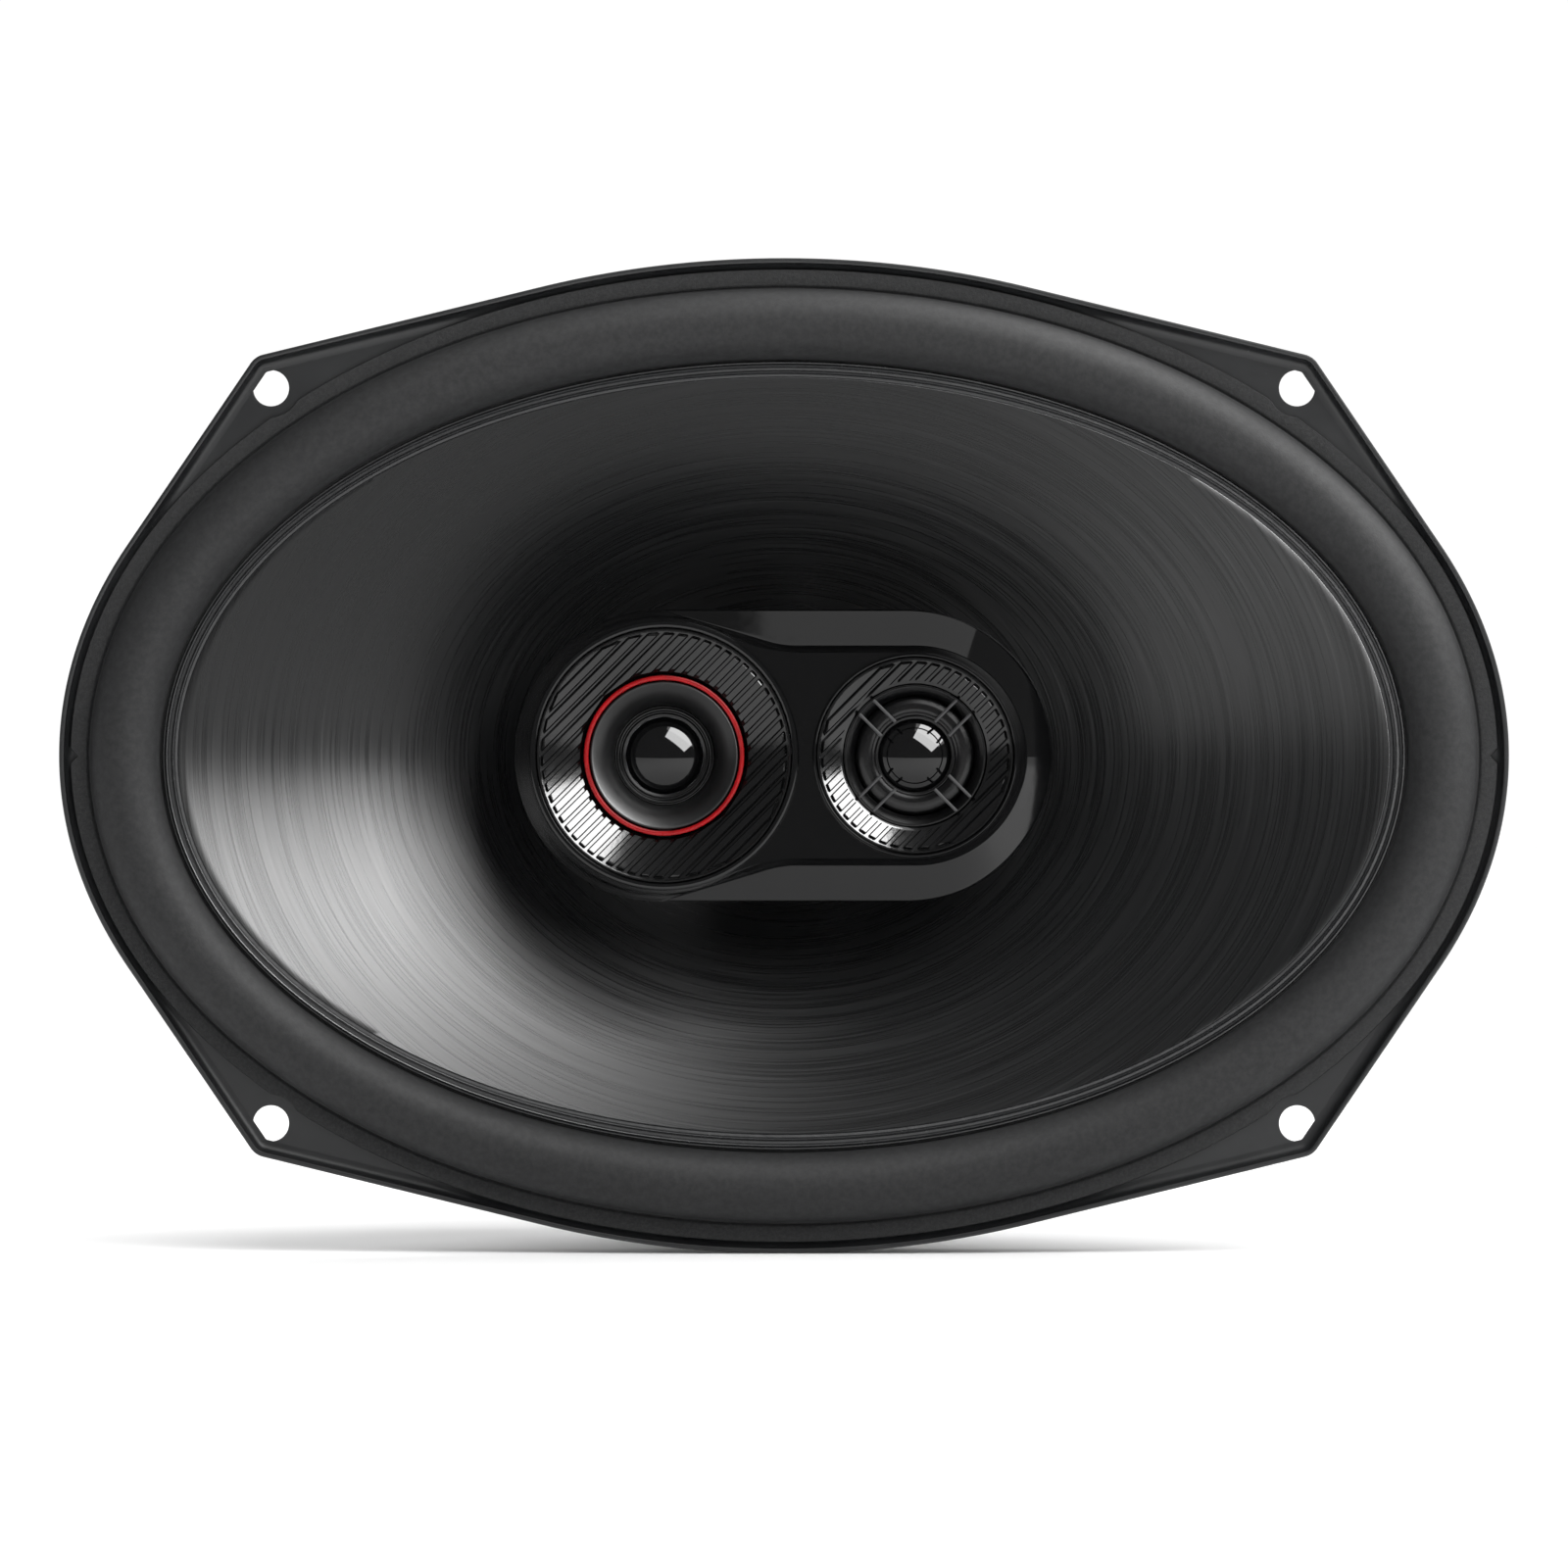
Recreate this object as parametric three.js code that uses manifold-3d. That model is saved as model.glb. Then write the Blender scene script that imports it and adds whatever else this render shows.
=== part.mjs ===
// An oval three-way coaxial loudspeaker for a car, in millimetres.
// +X runs along the long axis, +Z is up and the cone faces -Y. The origin is on the motor's axis,
// in the mounting plane, which is the rear face of the flange.
import * as THREE from 'three';
import { ConvexGeometry } from 'three/addons/geometries/ConvexGeometry.js';
import { mergeVertices } from 'three/addons/utils/BufferGeometryUtils.js';
import Module from 'manifold-3d';

const wasm = await Module();
wasm.setup();

// ---------------------------------------------------------------- driving dimensions

const WELD = 1e-4; // vertices closer than this are one
const GAP = 0.3; // clearance between pieces that touch
const OVERLAP = 0.5; // how far two joined shapes run into each other
const OVAL_STEPS = 40; // sides of the large ovals
const ROUND_STEPS = 24; // sides of the motor's round pieces
const SMALL_STEPS = 12; // sides of screws, holes and the pod's inner pieces

// Every oval of the front is named by its long semi-axis; the short one is this much less.
const OVAL_DIFFERENCE = 37;

const FLANGE = {
  radius: 118,
  sheet: 1.2,
  rimFront: -3,
  openingRadius: 112.3,
};
const EAR = {
  hole: { x: 83.6, z: 59.9, radius: 3 },
  corner: { x: 83.94, z: 61.9, radius: 3.5 },
};

const BASKET = {
  topRadius: 111.4,
  wallBends: [[110.4, 4], [102, 14], [80, 28]],
  ledgeRadius: 54,
  ledgeInnerRadius: 46.8,
  ledgeFront: 40,
  seatRadius: 42.6,
  seatFront: 50.8,
  seatInnerRadius: 24,
  windowFront: 13,
  windowRear: 38.4,
  spokeWidth: 16,
  spokeAngles: [30, 90, 150, 210, 270, 330],
};

const SURROUND = {
  lipRadius: 116.2,
  rollOuter: 113.7,
  rollInner: 101.5,
  rollHeight: 5.6,
  flapInner: 98.9,
  flapFront: -1.6,
  lipFront: -2.3,
  thickness: 0.8,
};

const CONE = {
  rimRadius: 101.2,
  faceRadius: 98.5,
  neckRadius: 16.15,
  rimFront: -2.5,
  neckFront: 34.5,
  neckRear: 38,
  thickness: 0.6,
  linearShare: 0.65, // share of the depth that falls evenly; the rest falls ever steeper
  flare: 3, // power of that steeper part
  steps: 8,
};

const COIL = {
  formerInner: 15.5,
  formerOuter: 16,
  formerFront: 35,
  formerRear: 64.5,
  windingInner: 16.1,
  windingOuter: 16.9,
  windingFront: 47,
  windingRear: 63,
};

const SPIDER = {
  outerRadius: 52.8,
  flatInner: 47.4,
  collarRadius: 16.2,
  waveInner: 18.6,
  waves: 4,
  waveHeight: 1.1,
  front: 39,
  thickness: 0.7,
};

const MOTOR = {
  plateRadius: 43,
  plateFront: 52.3,
  plateRear: 58,
  plateBore: 17.4,
  magnetRadius: 45,
  magnetBore: 23,
  magnetRear: 75.7,
  poleRadius: 15,
  poleFront: 52.5,
  yokeFront: 76,
  yokeRear: 82,
  yokeBore: 5.4,
  recessRadius: 9.5,
  recessFront: 78,
  chamfer: 1.2,
};
const MOTOR_RIVET = {
  circle: 33,
  angles: [45, 135, 225, 315],
  headRadius: 3,
  headHeight: 1.2,
  shankRadius: 1.6,
  holeRadius: 1.8,
};

const TERMINALS = {
  boardWidth: 32,
  boardInner: 48.5,
  boardOuter: 66,
  boardThickness: 1.6,
  rivetX: 11,
  rivetZ: 50.4,
  rivetHole: 1.4,
  rivetShank: 1.2,
  rivetHead: 2.2,
  rivetHeadHeight: 0.8,
  bladeThickness: 0.8,
  bladeInner: 55,
  bladeOuter: 75,
  positive: { x: -7.5, width: 6.3 },
  negative: { x: 7.5, width: 4.8 },
};

// The pod's base is the outline round two equal circles, its front the outline round the two lips.
const POD = {
  baseRadius: 23.75,
  baseCentre: 20,
  rear: 5.7,
  landFront: -6.5,
  face: -13.4,
  edge: 0.6,
  lipFront: -14,
  wall: 2.2,
  boss: { x: 5.5, z: 14.5, radius: 2.6, pilot: 1.3 },
};
const POD_BASE = {
  inset: 2.6,
  thickness: 2.4,
  boltHole: 2.6,
  screwHole: 1.5,
};
const STEM = {
  flangeRadius: 10,
  flangeThickness: 2.5,
  radius: 5,
  bore: 2.3,
  rear: 77.8,
};
const BOLT = { radius: 2, headRadius: 3.8, headHeight: 2, rear: 81.8 };
const WASHER = { radius: 8.5, bore: 2.4, front: 78.3, rear: 79.1 };
const NUT = { acrossCorners: 8.08, bore: 2.3, front: 79.3, rear: 81.6 };
const POD_SCREW = { headRadius: 2.7, headHeight: 1.3, radius: 1.1, front: -4 };

// Both small drivers are laid out the same way, each about its own axis.
const MIDRANGE = {
  x: -19.4,
  lipRadius: 21.7,
  boreRadius: 20.7,
  bezelInner: 13.2,
  bezelRear: -10.7,
  trim: { inner: 12.25, outer: 12.95, front: -12, rear: -10.6 },
  throatMouth: 12,
  throatFront: -11.4,
  throatNeck: 8.1,
  throatRear: -5.7,
  seatRear: -4.5,
  surroundOuter: 7.9,
  domeRadius: 6.2,
  domeHeight: 2.4,
  domeBase: -5.2,
};
const TWEETER = {
  x: 21.2,
  lipRadius: 16.5,
  boreRadius: 16,
  bezelInner: 11.7,
  bezelRear: -11.6,
  guard: { outer: 11.4, ring: 0.7, hub: 6.2, hubRing: 0.6, front: -12, rear: -10.8 },
  ribWidth: 0.7,
  ribSpacing: 3.4,
  ribAngles: [45, 135, 225, 315],
  frameOuter: 11.5,
  frameInner: 9.8,
  frameFront: -10.5,
  frameRear: -5.6,
  surroundOuter: 9.5,
  domeRadius: 5.85,
  domeHeight: 2.4,
  domeBase: -8.8,
};
const BEZEL_FRONT = -13.5;
const BEZEL_THICKNESS = 1.2;
const FILM = 0.35; // wall of the small domes and their compliant rings
const SMALL_COIL = { wall: 0.5, length: 3.2 };
const SMALL_MOTOR = {
  airGap: 0.35,
  plateThickness: 1.5,
  magnetThickness: 2.6,
  cupWall: 1.6,
  plateSetBack: 0.8, // from the dome's base to the front of the pole plate
};

// ---------------------------------------------------------------- materials

const material = (color, roughness, metalness) =>
  new THREE.MeshStandardMaterial({ color, roughness, metalness });

const paintedSteel = () => material(0x1b1c1e, 0.45, 0.2);
const zincSteel = () => material(0xa9adb0, 0.35, 0.9);
const ferrite = () => material(0x2c2d30, 0.75, 0.1);
const neodymium = () => material(0xb9bcc0, 0.3, 0.9);
const rubber = () => material(0x2a2b2d, 0.8, 0);
const conePolymer = () => material(0x34373a, 0.4, 0.1);
const glossPlastic = () => material(0x0b0c0e, 0.12, 0);
const mattePlastic = () => material(0x17181a, 0.55, 0);
const redPlastic = () => material(0xb0141c, 0.3, 0);
const kapton = () => material(0x8a5a24, 0.5, 0);
const copper = () => material(0xb87333, 0.4, 0.9);
const spiderCloth = () => material(0xa9742f, 0.9, 0);
const phenolic = () => material(0x5a3a22, 0.6, 0);

// ---------------------------------------------------------------- geometry helpers

const radians = THREE.MathUtils.degToRad;
const clamp = THREE.MathUtils.clamp;

function signedVolume(geometry) {
  const corner = [new THREE.Vector3(), new THREE.Vector3(), new THREE.Vector3()];
  const { index, attributes } = geometry;
  let volume = 0;
  for (let i = 0; i < index.count; i += 3) {
    corner.forEach((c, k) => c.fromBufferAttribute(attributes.position, index.getX(i + k)));
    volume += corner[0].dot(corner[1].cross(corner[2])) / 6;
  }
  return volume;
}

/** Shared vertices merged, triangles without area dropped, and the faces pointing out. */
function welded(geometry) {
  const bare = geometry.clone();
  bare.deleteAttribute('normal');
  bare.deleteAttribute('uv');
  const merged = mergeVertices(bare, WELD);
  const old = merged.index.array;
  const kept = [];
  for (let i = 0; i < old.length; i += 3) {
    const [a, b, c] = old.slice(i, i + 3);
    if (a !== b && b !== c && c !== a) {
      kept.push(a, b, c);
    }
  }
  merged.setIndex(kept);
  if (signedVolume(merged) < 0) {
    merged.setIndex(kept.reverse());
  }
  return merged;
}

function toManifold(geometry) {
  const closed = welded(geometry);
  return new wasm.Manifold(
    new wasm.Mesh({
      numProp: 3,
      vertProperties: new Float32Array(closed.attributes.position.array),
      triVerts: new Uint32Array(closed.index.array),
    }),
  );
}

function toGeometry(manifold) {
  const mesh = manifold.getMesh();
  const geometry = new THREE.BufferGeometry();
  geometry.setAttribute('position', new THREE.BufferAttribute(mesh.vertProperties, 3));
  geometry.setIndex(new THREE.BufferAttribute(mesh.triVerts, 1));
  return geometry;
}

/** One solid: the first geometry with some joined to it and some cut from it. */
function combine(base, { join = [], cut = [] }) {
  let solid = toManifold(base);
  for (const geometry of join) {
    solid = solid.add(toManifold(geometry));
  }
  for (const geometry of cut) {
    solid = solid.subtract(toManifold(geometry));
  }
  return toGeometry(solid);
}

/** A profile of [radius, y] points turned about the Y axis; one that leaves the axis is closed. */
function turned(profile, steps) {
  const points = profile.map(([radius, y]) => new THREE.Vector2(radius, y));
  if (profile[0][0] > 0) {
    points.push(points[0].clone());
  }
  return welded(new THREE.LatheGeometry(points, steps));
}

function ring(inner, outer, front, rear, steps) {
  const profile = [[inner, front], [outer, front], [outer, rear], [inner, rear]];
  return turned(profile, steps);
}

function disc(radius, front, rear, steps) {
  const profile = [[0, front], [radius, front], [radius, rear], [0, rear]];
  return turned(profile, steps);
}

/** Turns circles into ovals: round up to roundRadius, and the full oval from ovalRadius out. */
function madeOval(geometry, roundRadius, ovalRadius) {
  const position = geometry.attributes.position;
  for (let i = 0; i < position.count; i++) {
    const radius = Math.hypot(position.getX(i), position.getZ(i));
    const share = clamp((radius - roundRadius) / (ovalRadius - roundRadius), 0, 1);
    const scale = radius > 0 ? (radius - OVAL_DIFFERENCE * share) / radius : 1;
    position.setZ(i, position.getZ(i) * scale);
  }
  return geometry;
}

/** A drawn outline in X and Z, from y = front to y = rear. */
function plate(outline, holes, front, rear) {
  const shape = new THREE.Shape(outline);
  shape.holes = holes.map((points) => new THREE.Path(points));
  const geometry = new THREE.ExtrudeGeometry(shape, {
    depth: rear - front,
    bevelEnabled: false,
  });
  geometry.rotateX(Math.PI / 2);
  geometry.translate(0, rear, 0);
  return geometry;
}

function arcPoints(x, z, radiusX, radiusZ, steps) {
  const points = [];
  for (let i = 0; i < steps; i++) {
    const angle = (2 * Math.PI * i) / steps;
    points.push(new THREE.Vector2(x + radiusX * Math.cos(angle), z + radiusZ * Math.sin(angle)));
  }
  return points;
}

const circlePoints = (x, z, radius, steps) => arcPoints(x, z, radius, radius, steps);
const ovalPoints = (radius) =>
  arcPoints(0, 0, radius, radius - OVAL_DIFFERENCE, OVAL_STEPS);

/** The outline of a rubber band round the given points. */
function convexOutline(points) {
  const sorted = [...points].sort((a, b) => a.x - b.x || a.y - b.y);
  const half = (list) => {
    const chain = [];
    for (const p of list) {
      while (chain.length > 1) {
        const [a, b] = chain.slice(-2);
        if ((b.x - a.x) * (p.y - a.y) - (b.y - a.y) * (p.x - a.x) > WELD) break;
        chain.pop();
      }
      chain.push(p);
    }
    chain.pop();
    return chain;
  };
  return [...half(sorted), ...half(sorted.reverse())];
}

/** A centre line of [radius, y] points given a wall, as a closed profile. */
function walled(line, thickness) {
  const offset = line.map(([radius, y], i) => {
    const [r0, y0] = line[Math.max(i - 1, 0)];
    const [r1, y1] = line[Math.min(i + 1, line.length - 1)];
    const length = Math.hypot(r1 - r0, y1 - y0);
    return [radius + (thickness * (y1 - y0)) / length, y - (thickness * (r1 - r0)) / length];
  });
  return [...line, ...offset.reverse()];
}

const cylinderAt = (x, z, radius, front, rear, steps = SMALL_STEPS) =>
  disc(radius, front, rear, steps).translate(x, 0, z);

function atAngle(radius, angle) {
  return { x: radius * Math.cos(radians(angle)), z: radius * Math.sin(radians(angle)) };
}

const speaker = new THREE.Group();

function addPart(name, geometry, surface, parent = speaker) {
  const mesh = new THREE.Mesh(geometry, surface);
  mesh.name = name;
  parent.add(mesh);
}

// ---------------------------------------------------------------- basket

function flangeOutline(inset) {
  const corner = EAR.corner;
  const points = arcPoints(
    0,
    0,
    FLANGE.radius - inset,
    FLANGE.radius - OVAL_DIFFERENCE - inset,
    OVAL_STEPS,
  );
  for (const sideX of [-1, 1]) {
    for (const sideZ of [-1, 1]) {
      const radius = corner.radius - inset;
      points.push(...circlePoints(sideX * corner.x, sideZ * corner.z, radius, SMALL_STEPS));
    }
  }
  return convexOutline(points);
}

function earHoles() {
  const { x, z, radius } = EAR.hole;
  const places = [[x, z], [-x, z], [-x, -z], [x, -z]];
  return places.map(([holeX, holeZ]) => circlePoints(holeX, holeZ, radius, SMALL_STEPS));
}

function basketShell() {
  const wall = [
    [BASKET.topRadius, -FLANGE.sheet / 2],
    ...BASKET.wallBends,
    [BASKET.ledgeRadius, BASKET.ledgeFront],
    [BASKET.ledgeInnerRadius, BASKET.ledgeFront],
    [BASKET.seatRadius, BASKET.seatFront],
    [BASKET.seatInnerRadius, BASKET.seatFront],
  ];
  const profile = walled(wall, FLANGE.sheet);
  return madeOval(turned(profile, OVAL_STEPS), BASKET.ledgeRadius, BASKET.topRadius);
}

/** What the windows take away: a slab right across, less the spokes. */
function basketWindows() {
  const { windowFront, windowRear, spokeWidth, spokeAngles } = BASKET;
  const depth = windowRear - windowFront;
  const spokes = spokeAngles.map((angle) => {
    const spoke = new THREE.BoxGeometry(FLANGE.radius, depth + 2, spokeWidth);
    spoke.translate(FLANGE.radius / 2, windowFront + depth / 2, 0);
    return spoke.rotateY(-radians(angle));
  });
  const slab = disc(FLANGE.radius, windowFront, windowRear, OVAL_STEPS);
  return combine(slab, { cut: spokes });
}

function basket() {
  const outline = flangeOutline(0);
  const opening = ovalPoints(FLANGE.openingRadius);
  const face = plate(outline, [...earHoles(), opening], -FLANGE.sheet, 0);
  const inside = flangeOutline(FLANGE.sheet);
  const rim = plate(outline, [inside], FLANGE.rimFront, -FLANGE.sheet + OVERLAP);
  const seatDepth = [BASKET.seatFront - 1, MOTOR.plateFront];
  const rivetHoles = MOTOR_RIVET.angles.map((angle) => {
    const { x, z } = atAngle(MOTOR_RIVET.circle, angle);
    return cylinderAt(x, z, MOTOR_RIVET.holeRadius, ...seatDepth);
  });
  const ledgeDepth = [BASKET.ledgeFront - 1, BASKET.ledgeFront + 2 * FLANGE.sheet];
  const boardHoles = [-1, 1].map((side) =>
    cylinderAt(
      side * TERMINALS.rivetX,
      TERMINALS.rivetZ,
      TERMINALS.rivetHole,
      ...ledgeDepth,
    ),
  );
  return combine(face, {
    join: [rim, basketShell()],
    cut: [basketWindows(), ...rivetHoles, ...boardHoles],
  });
}

addPart('basket', basket(), paintedSteel());

// ---------------------------------------------------------------- surround, cone, coil and spider

function surround() {
  const s = SURROUND;
  const steps = 6;
  const centre = (s.rollOuter + s.rollInner) / 2;
  const half = (s.rollOuter - s.rollInner) / 2;
  const foot = s.lipFront + GAP;
  const arch = (reach, height) => {
    const points = [];
    for (let i = 0; i <= steps; i++) {
      const angle = (Math.PI * i) / steps;
      points.push([centre + reach * Math.cos(angle), foot - height * Math.sin(angle)]);
    }
    return points;
  };
  const lipRear = s.lipFront + s.thickness;
  const flapRear = s.flapFront + s.thickness;
  const front = [
    [s.lipRadius, s.lipFront],
    [s.rollOuter + GAP, s.lipFront],
    ...arch(half, s.rollHeight),
    [s.rollInner, s.flapFront],
    [s.flapInner, s.flapFront],
  ];
  const rear = [
    [s.flapInner, flapRear],
    [s.rollInner + s.thickness, flapRear],
    ...arch(half - s.thickness, s.rollHeight - s.thickness).reverse(),
    [s.rollOuter - s.thickness, lipRear],
    [s.lipRadius, lipRear],
  ];
  return madeOval(turned([...front, ...rear], OVAL_STEPS), 0, CONE.faceRadius);
}

function coneLine() {
  const depth = CONE.neckFront - CONE.rimFront;
  const reach = CONE.faceRadius - CONE.neckRadius;
  const line = [[CONE.rimRadius, CONE.rimFront]];
  for (let i = 0; i <= CONE.steps; i++) {
    const inward = i / CONE.steps;
    const steep = (1 - CONE.linearShare) * inward ** CONE.flare;
    const fall = CONE.linearShare * inward + steep;
    line.push([CONE.faceRadius - inward * reach, CONE.rimFront + fall * depth]);
  }
  line.push([CONE.neckRadius, CONE.neckRear]);
  return line;
}

function cone() {
  const profile = walled(coneLine(), CONE.thickness);
  const neckOuter = CONE.neckRadius + CONE.thickness;
  return madeOval(turned(profile, OVAL_STEPS), neckOuter, CONE.faceRadius);
}

function spider() {
  const s = SPIDER;
  const line = [[s.outerRadius, s.front], [s.flatInner, s.front]];
  const pitch = (s.flatInner - s.waveInner) / (2 * s.waves);
  for (let i = 1; i < 2 * s.waves; i++) {
    const side = i % 2 ? -1 : 1;
    line.push([s.flatInner - i * pitch, s.front + side * s.waveHeight]);
  }
  line.push([s.waveInner, s.front]);
  line.push([s.collarRadius, s.front]);
  return turned(walled(line, s.thickness), ROUND_STEPS);
}

addPart('surround', surround(), rubber());
addPart('cone', cone(), conePolymer());
addPart(
  'voice_coil_former',
  ring(COIL.formerInner, COIL.formerOuter, COIL.formerFront, COIL.formerRear, ROUND_STEPS),
  kapton(),
);
addPart(
  'voice_coil_winding',
  ring(COIL.windingInner, COIL.windingOuter, COIL.windingFront, COIL.windingRear, ROUND_STEPS),
  copper(),
);
addPart('spider', spider(), spiderCloth());

// ---------------------------------------------------------------- motor

function topPlate() {
  const m = MOTOR;
  const body = ring(m.plateBore, m.plateRadius, m.plateFront, m.plateRear, ROUND_STEPS);
  const holes = MOTOR_RIVET.angles.map((angle) => {
    const { x, z } = atAngle(MOTOR_RIVET.circle, angle);
    return cylinderAt(x, z, MOTOR_RIVET.holeRadius, m.plateFront - 1, m.plateRear + 1);
  });
  return combine(body, { cut: holes });
}

function backPlate() {
  const m = MOTOR;
  const profile = [
    [m.yokeBore, m.poleFront],
    [m.poleRadius, m.poleFront],
    [m.poleRadius, m.yokeFront],
    [m.plateRadius, m.yokeFront],
    [m.plateRadius, m.yokeRear - m.chamfer],
    [m.plateRadius - m.chamfer, m.yokeRear],
    [m.recessRadius, m.yokeRear],
    [m.recessRadius, m.recessFront],
    [m.yokeBore, m.recessFront],
  ];
  return turned(profile, ROUND_STEPS);
}

/** A rivet whose head faces the front, centred on the Y axis. */
function rivet(headRadius, headHeight, shankRadius, headRear, shankRear) {
  const profile = [
    [0, headRear - headHeight],
    [headRadius * 0.6, headRear - headHeight],
    [headRadius, headRear - headHeight * 0.4],
    [headRadius, headRear],
    [shankRadius, headRear],
    [shankRadius, shankRear],
    [0, shankRear],
  ];
  return turned(profile, SMALL_STEPS);
}

addPart('top_plate', topPlate(), zincSteel());
addPart(
  'magnet_ring',
  ring(
    MOTOR.magnetBore,
    MOTOR.magnetRadius,
    MOTOR.plateRear + GAP,
    MOTOR.magnetRear,
    ROUND_STEPS,
  ),
  ferrite(),
);
addPart('back_plate', backPlate(), zincSteel());

MOTOR_RIVET.angles.forEach((angle, i) => {
  const { x, z } = atAngle(MOTOR_RIVET.circle, angle);
  const { headRadius, headHeight, shankRadius } = MOTOR_RIVET;
  const shankRear = MOTOR.plateRear - GAP;
  const body = rivet(headRadius, headHeight, shankRadius, BASKET.seatFront - GAP, shankRear);
  addPart(`motor_rivet_${i + 1}`, body.translate(x, 0, z), zincSteel());
});

// ---------------------------------------------------------------- terminals

function terminalBoard() {
  const t = TERMINALS;
  const front = BASKET.ledgeFront + FLANGE.sheet + GAP;
  const rear = front + t.boardThickness;
  const board = new THREE.BoxGeometry(
    t.boardWidth,
    t.boardThickness,
    t.boardOuter - t.boardInner,
  );
  board.translate(0, (front + rear) / 2, (t.boardInner + t.boardOuter) / 2);
  const holes = [-1, 1].map((side) =>
    cylinderAt(side * t.rivetX, t.rivetZ, t.rivetHole, front - 1, rear + 1),
  );
  return { geometry: combine(board, { cut: holes }), rear };
}

/** A flat push-on blade that lies on the board and points away from the motor. */
function blade({ x, width }, front) {
  const t = TERMINALS;
  const half = width / 2;
  const tip = [half - 1.2, t.bladeOuter];
  const outline = [
    [-half, t.bladeInner],
    [half, t.bladeInner],
    [half, t.bladeOuter - 1.2],
    tip,
    [-tip[0], tip[1]],
    [-half, t.bladeOuter - 1.2],
  ].map(([dx, z]) => new THREE.Vector2(x + dx, z));
  const hole = circlePoints(x, t.bladeOuter - 4.5, 0.8, SMALL_STEPS / 2);
  return plate(outline, [hole], front, front + t.bladeThickness);
}

const board = terminalBoard();
addPart('terminal_board', board.geometry, phenolic());
addPart('terminal_positive', blade(TERMINALS.positive, board.rear + GAP), zincSteel());
addPart('terminal_negative', blade(TERMINALS.negative, board.rear + GAP), zincSteel());

[-1, 1].forEach((side, i) => {
  const { rivetHead, rivetHeadHeight, rivetShank, rivetX, rivetZ } = TERMINALS;
  const front = BASKET.ledgeFront + GAP;
  const body = rivet(rivetHead, rivetHeadHeight, rivetShank, 0, board.rear + GAP - front);
  body.rotateX(Math.PI);
  body.translate(side * rivetX, board.rear + GAP, rivetZ);
  addPart(`terminal_rivet_${i + 1}`, body, zincSteel());
});

// ---------------------------------------------------------------- pod

/** Points of the outline round two circles, at one depth. */
function twoCircles(left, right, y) {
  const points = [];
  for (const circle of [left, right]) {
    for (const p of circlePoints(circle.x, 0, circle.radius, ROUND_STEPS)) {
      points.push(new THREE.Vector3(p.x, y, p.y));
    }
  }
  return points;
}

function baseCircles(inset) {
  const radius = POD.baseRadius - inset;
  return [{ x: -POD.baseCentre, radius }, { x: POD.baseCentre, radius }];
}

function faceCircles(inset) {
  return [MIDRANGE, TWEETER].map(({ x, lipRadius }) => ({ x, radius: lipRadius - inset }));
}

function podHousing() {
  const { rear, landFront, face, edge, wall, boss } = POD;
  const body = new ConvexGeometry([
    ...twoCircles(...baseCircles(0), rear),
    ...twoCircles(...baseCircles(0), landFront),
    ...twoCircles(...faceCircles(0), face + edge),
    ...twoCircles(...faceCircles(edge), face),
  ]);
  const hollow = new ConvexGeometry([
    ...twoCircles(...baseCircles(wall), rear + 1),
    ...twoCircles(...baseCircles(wall), landFront),
    ...twoCircles(...faceCircles(wall), face + wall),
  ]);
  const lips = [MIDRANGE, TWEETER].map(({ x, lipRadius, boreRadius }) =>
    ring(boreRadius - GAP, lipRadius, POD.lipFront, face + edge, ROUND_STEPS).translate(x, 0, 0),
  );
  const bores = [MIDRANGE, TWEETER].map(({ x, boreRadius }) =>
    cylinderAt(x, 0, boreRadius, POD.lipFront - 1, face + 2 * wall, ROUND_STEPS),
  );
  const baseFront = rear - POD_BASE.thickness - GAP;
  const bosses = [-1, 1].map((side) =>
    cylinderAt(boss.x, side * boss.z, boss.radius, face + wall / 2, baseFront),
  );
  const pilots = [-1, 1].map((side) =>
    cylinderAt(boss.x, side * boss.z, boss.pilot, POD_SCREW.front - 1, baseFront + 1),
  );
  const shell = toGeometry(toManifold(body).subtract(toManifold(hollow)));
  return combine(shell, { join: [...lips, ...bosses], cut: [...bores, ...pilots] });
}

function podBase() {
  const { inset, thickness, boltHole, screwHole } = POD_BASE;
  const flat = twoCircles(...baseCircles(inset), 0).map((p) => new THREE.Vector2(p.x, p.z));
  const holes = [
    circlePoints(0, 0, boltHole, SMALL_STEPS),
    ...[-1, 1].map((side) =>
      circlePoints(POD.boss.x, side * POD.boss.z, screwHole, SMALL_STEPS),
    ),
  ];
  return plate(convexOutline(flat), holes, POD.rear - thickness, POD.rear);
}

function podStem() {
  const front = POD.rear + GAP;
  const profile = [
    [STEM.bore, front],
    [STEM.flangeRadius, front],
    [STEM.flangeRadius, front + STEM.flangeThickness],
    [STEM.radius, front + STEM.flangeThickness],
    [STEM.radius, STEM.rear],
    [STEM.bore, STEM.rear],
  ];
  return turned(profile, ROUND_STEPS);
}

function podBolt() {
  const headRear = POD.rear - POD_BASE.thickness - GAP;
  const profile = [
    [0, headRear - BOLT.headHeight],
    [BOLT.headRadius, headRear - BOLT.headHeight],
    [BOLT.headRadius, headRear],
    [BOLT.radius, headRear],
    [BOLT.radius, BOLT.rear],
    [0, BOLT.rear],
  ];
  return turned(profile, SMALL_STEPS);
}

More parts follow.
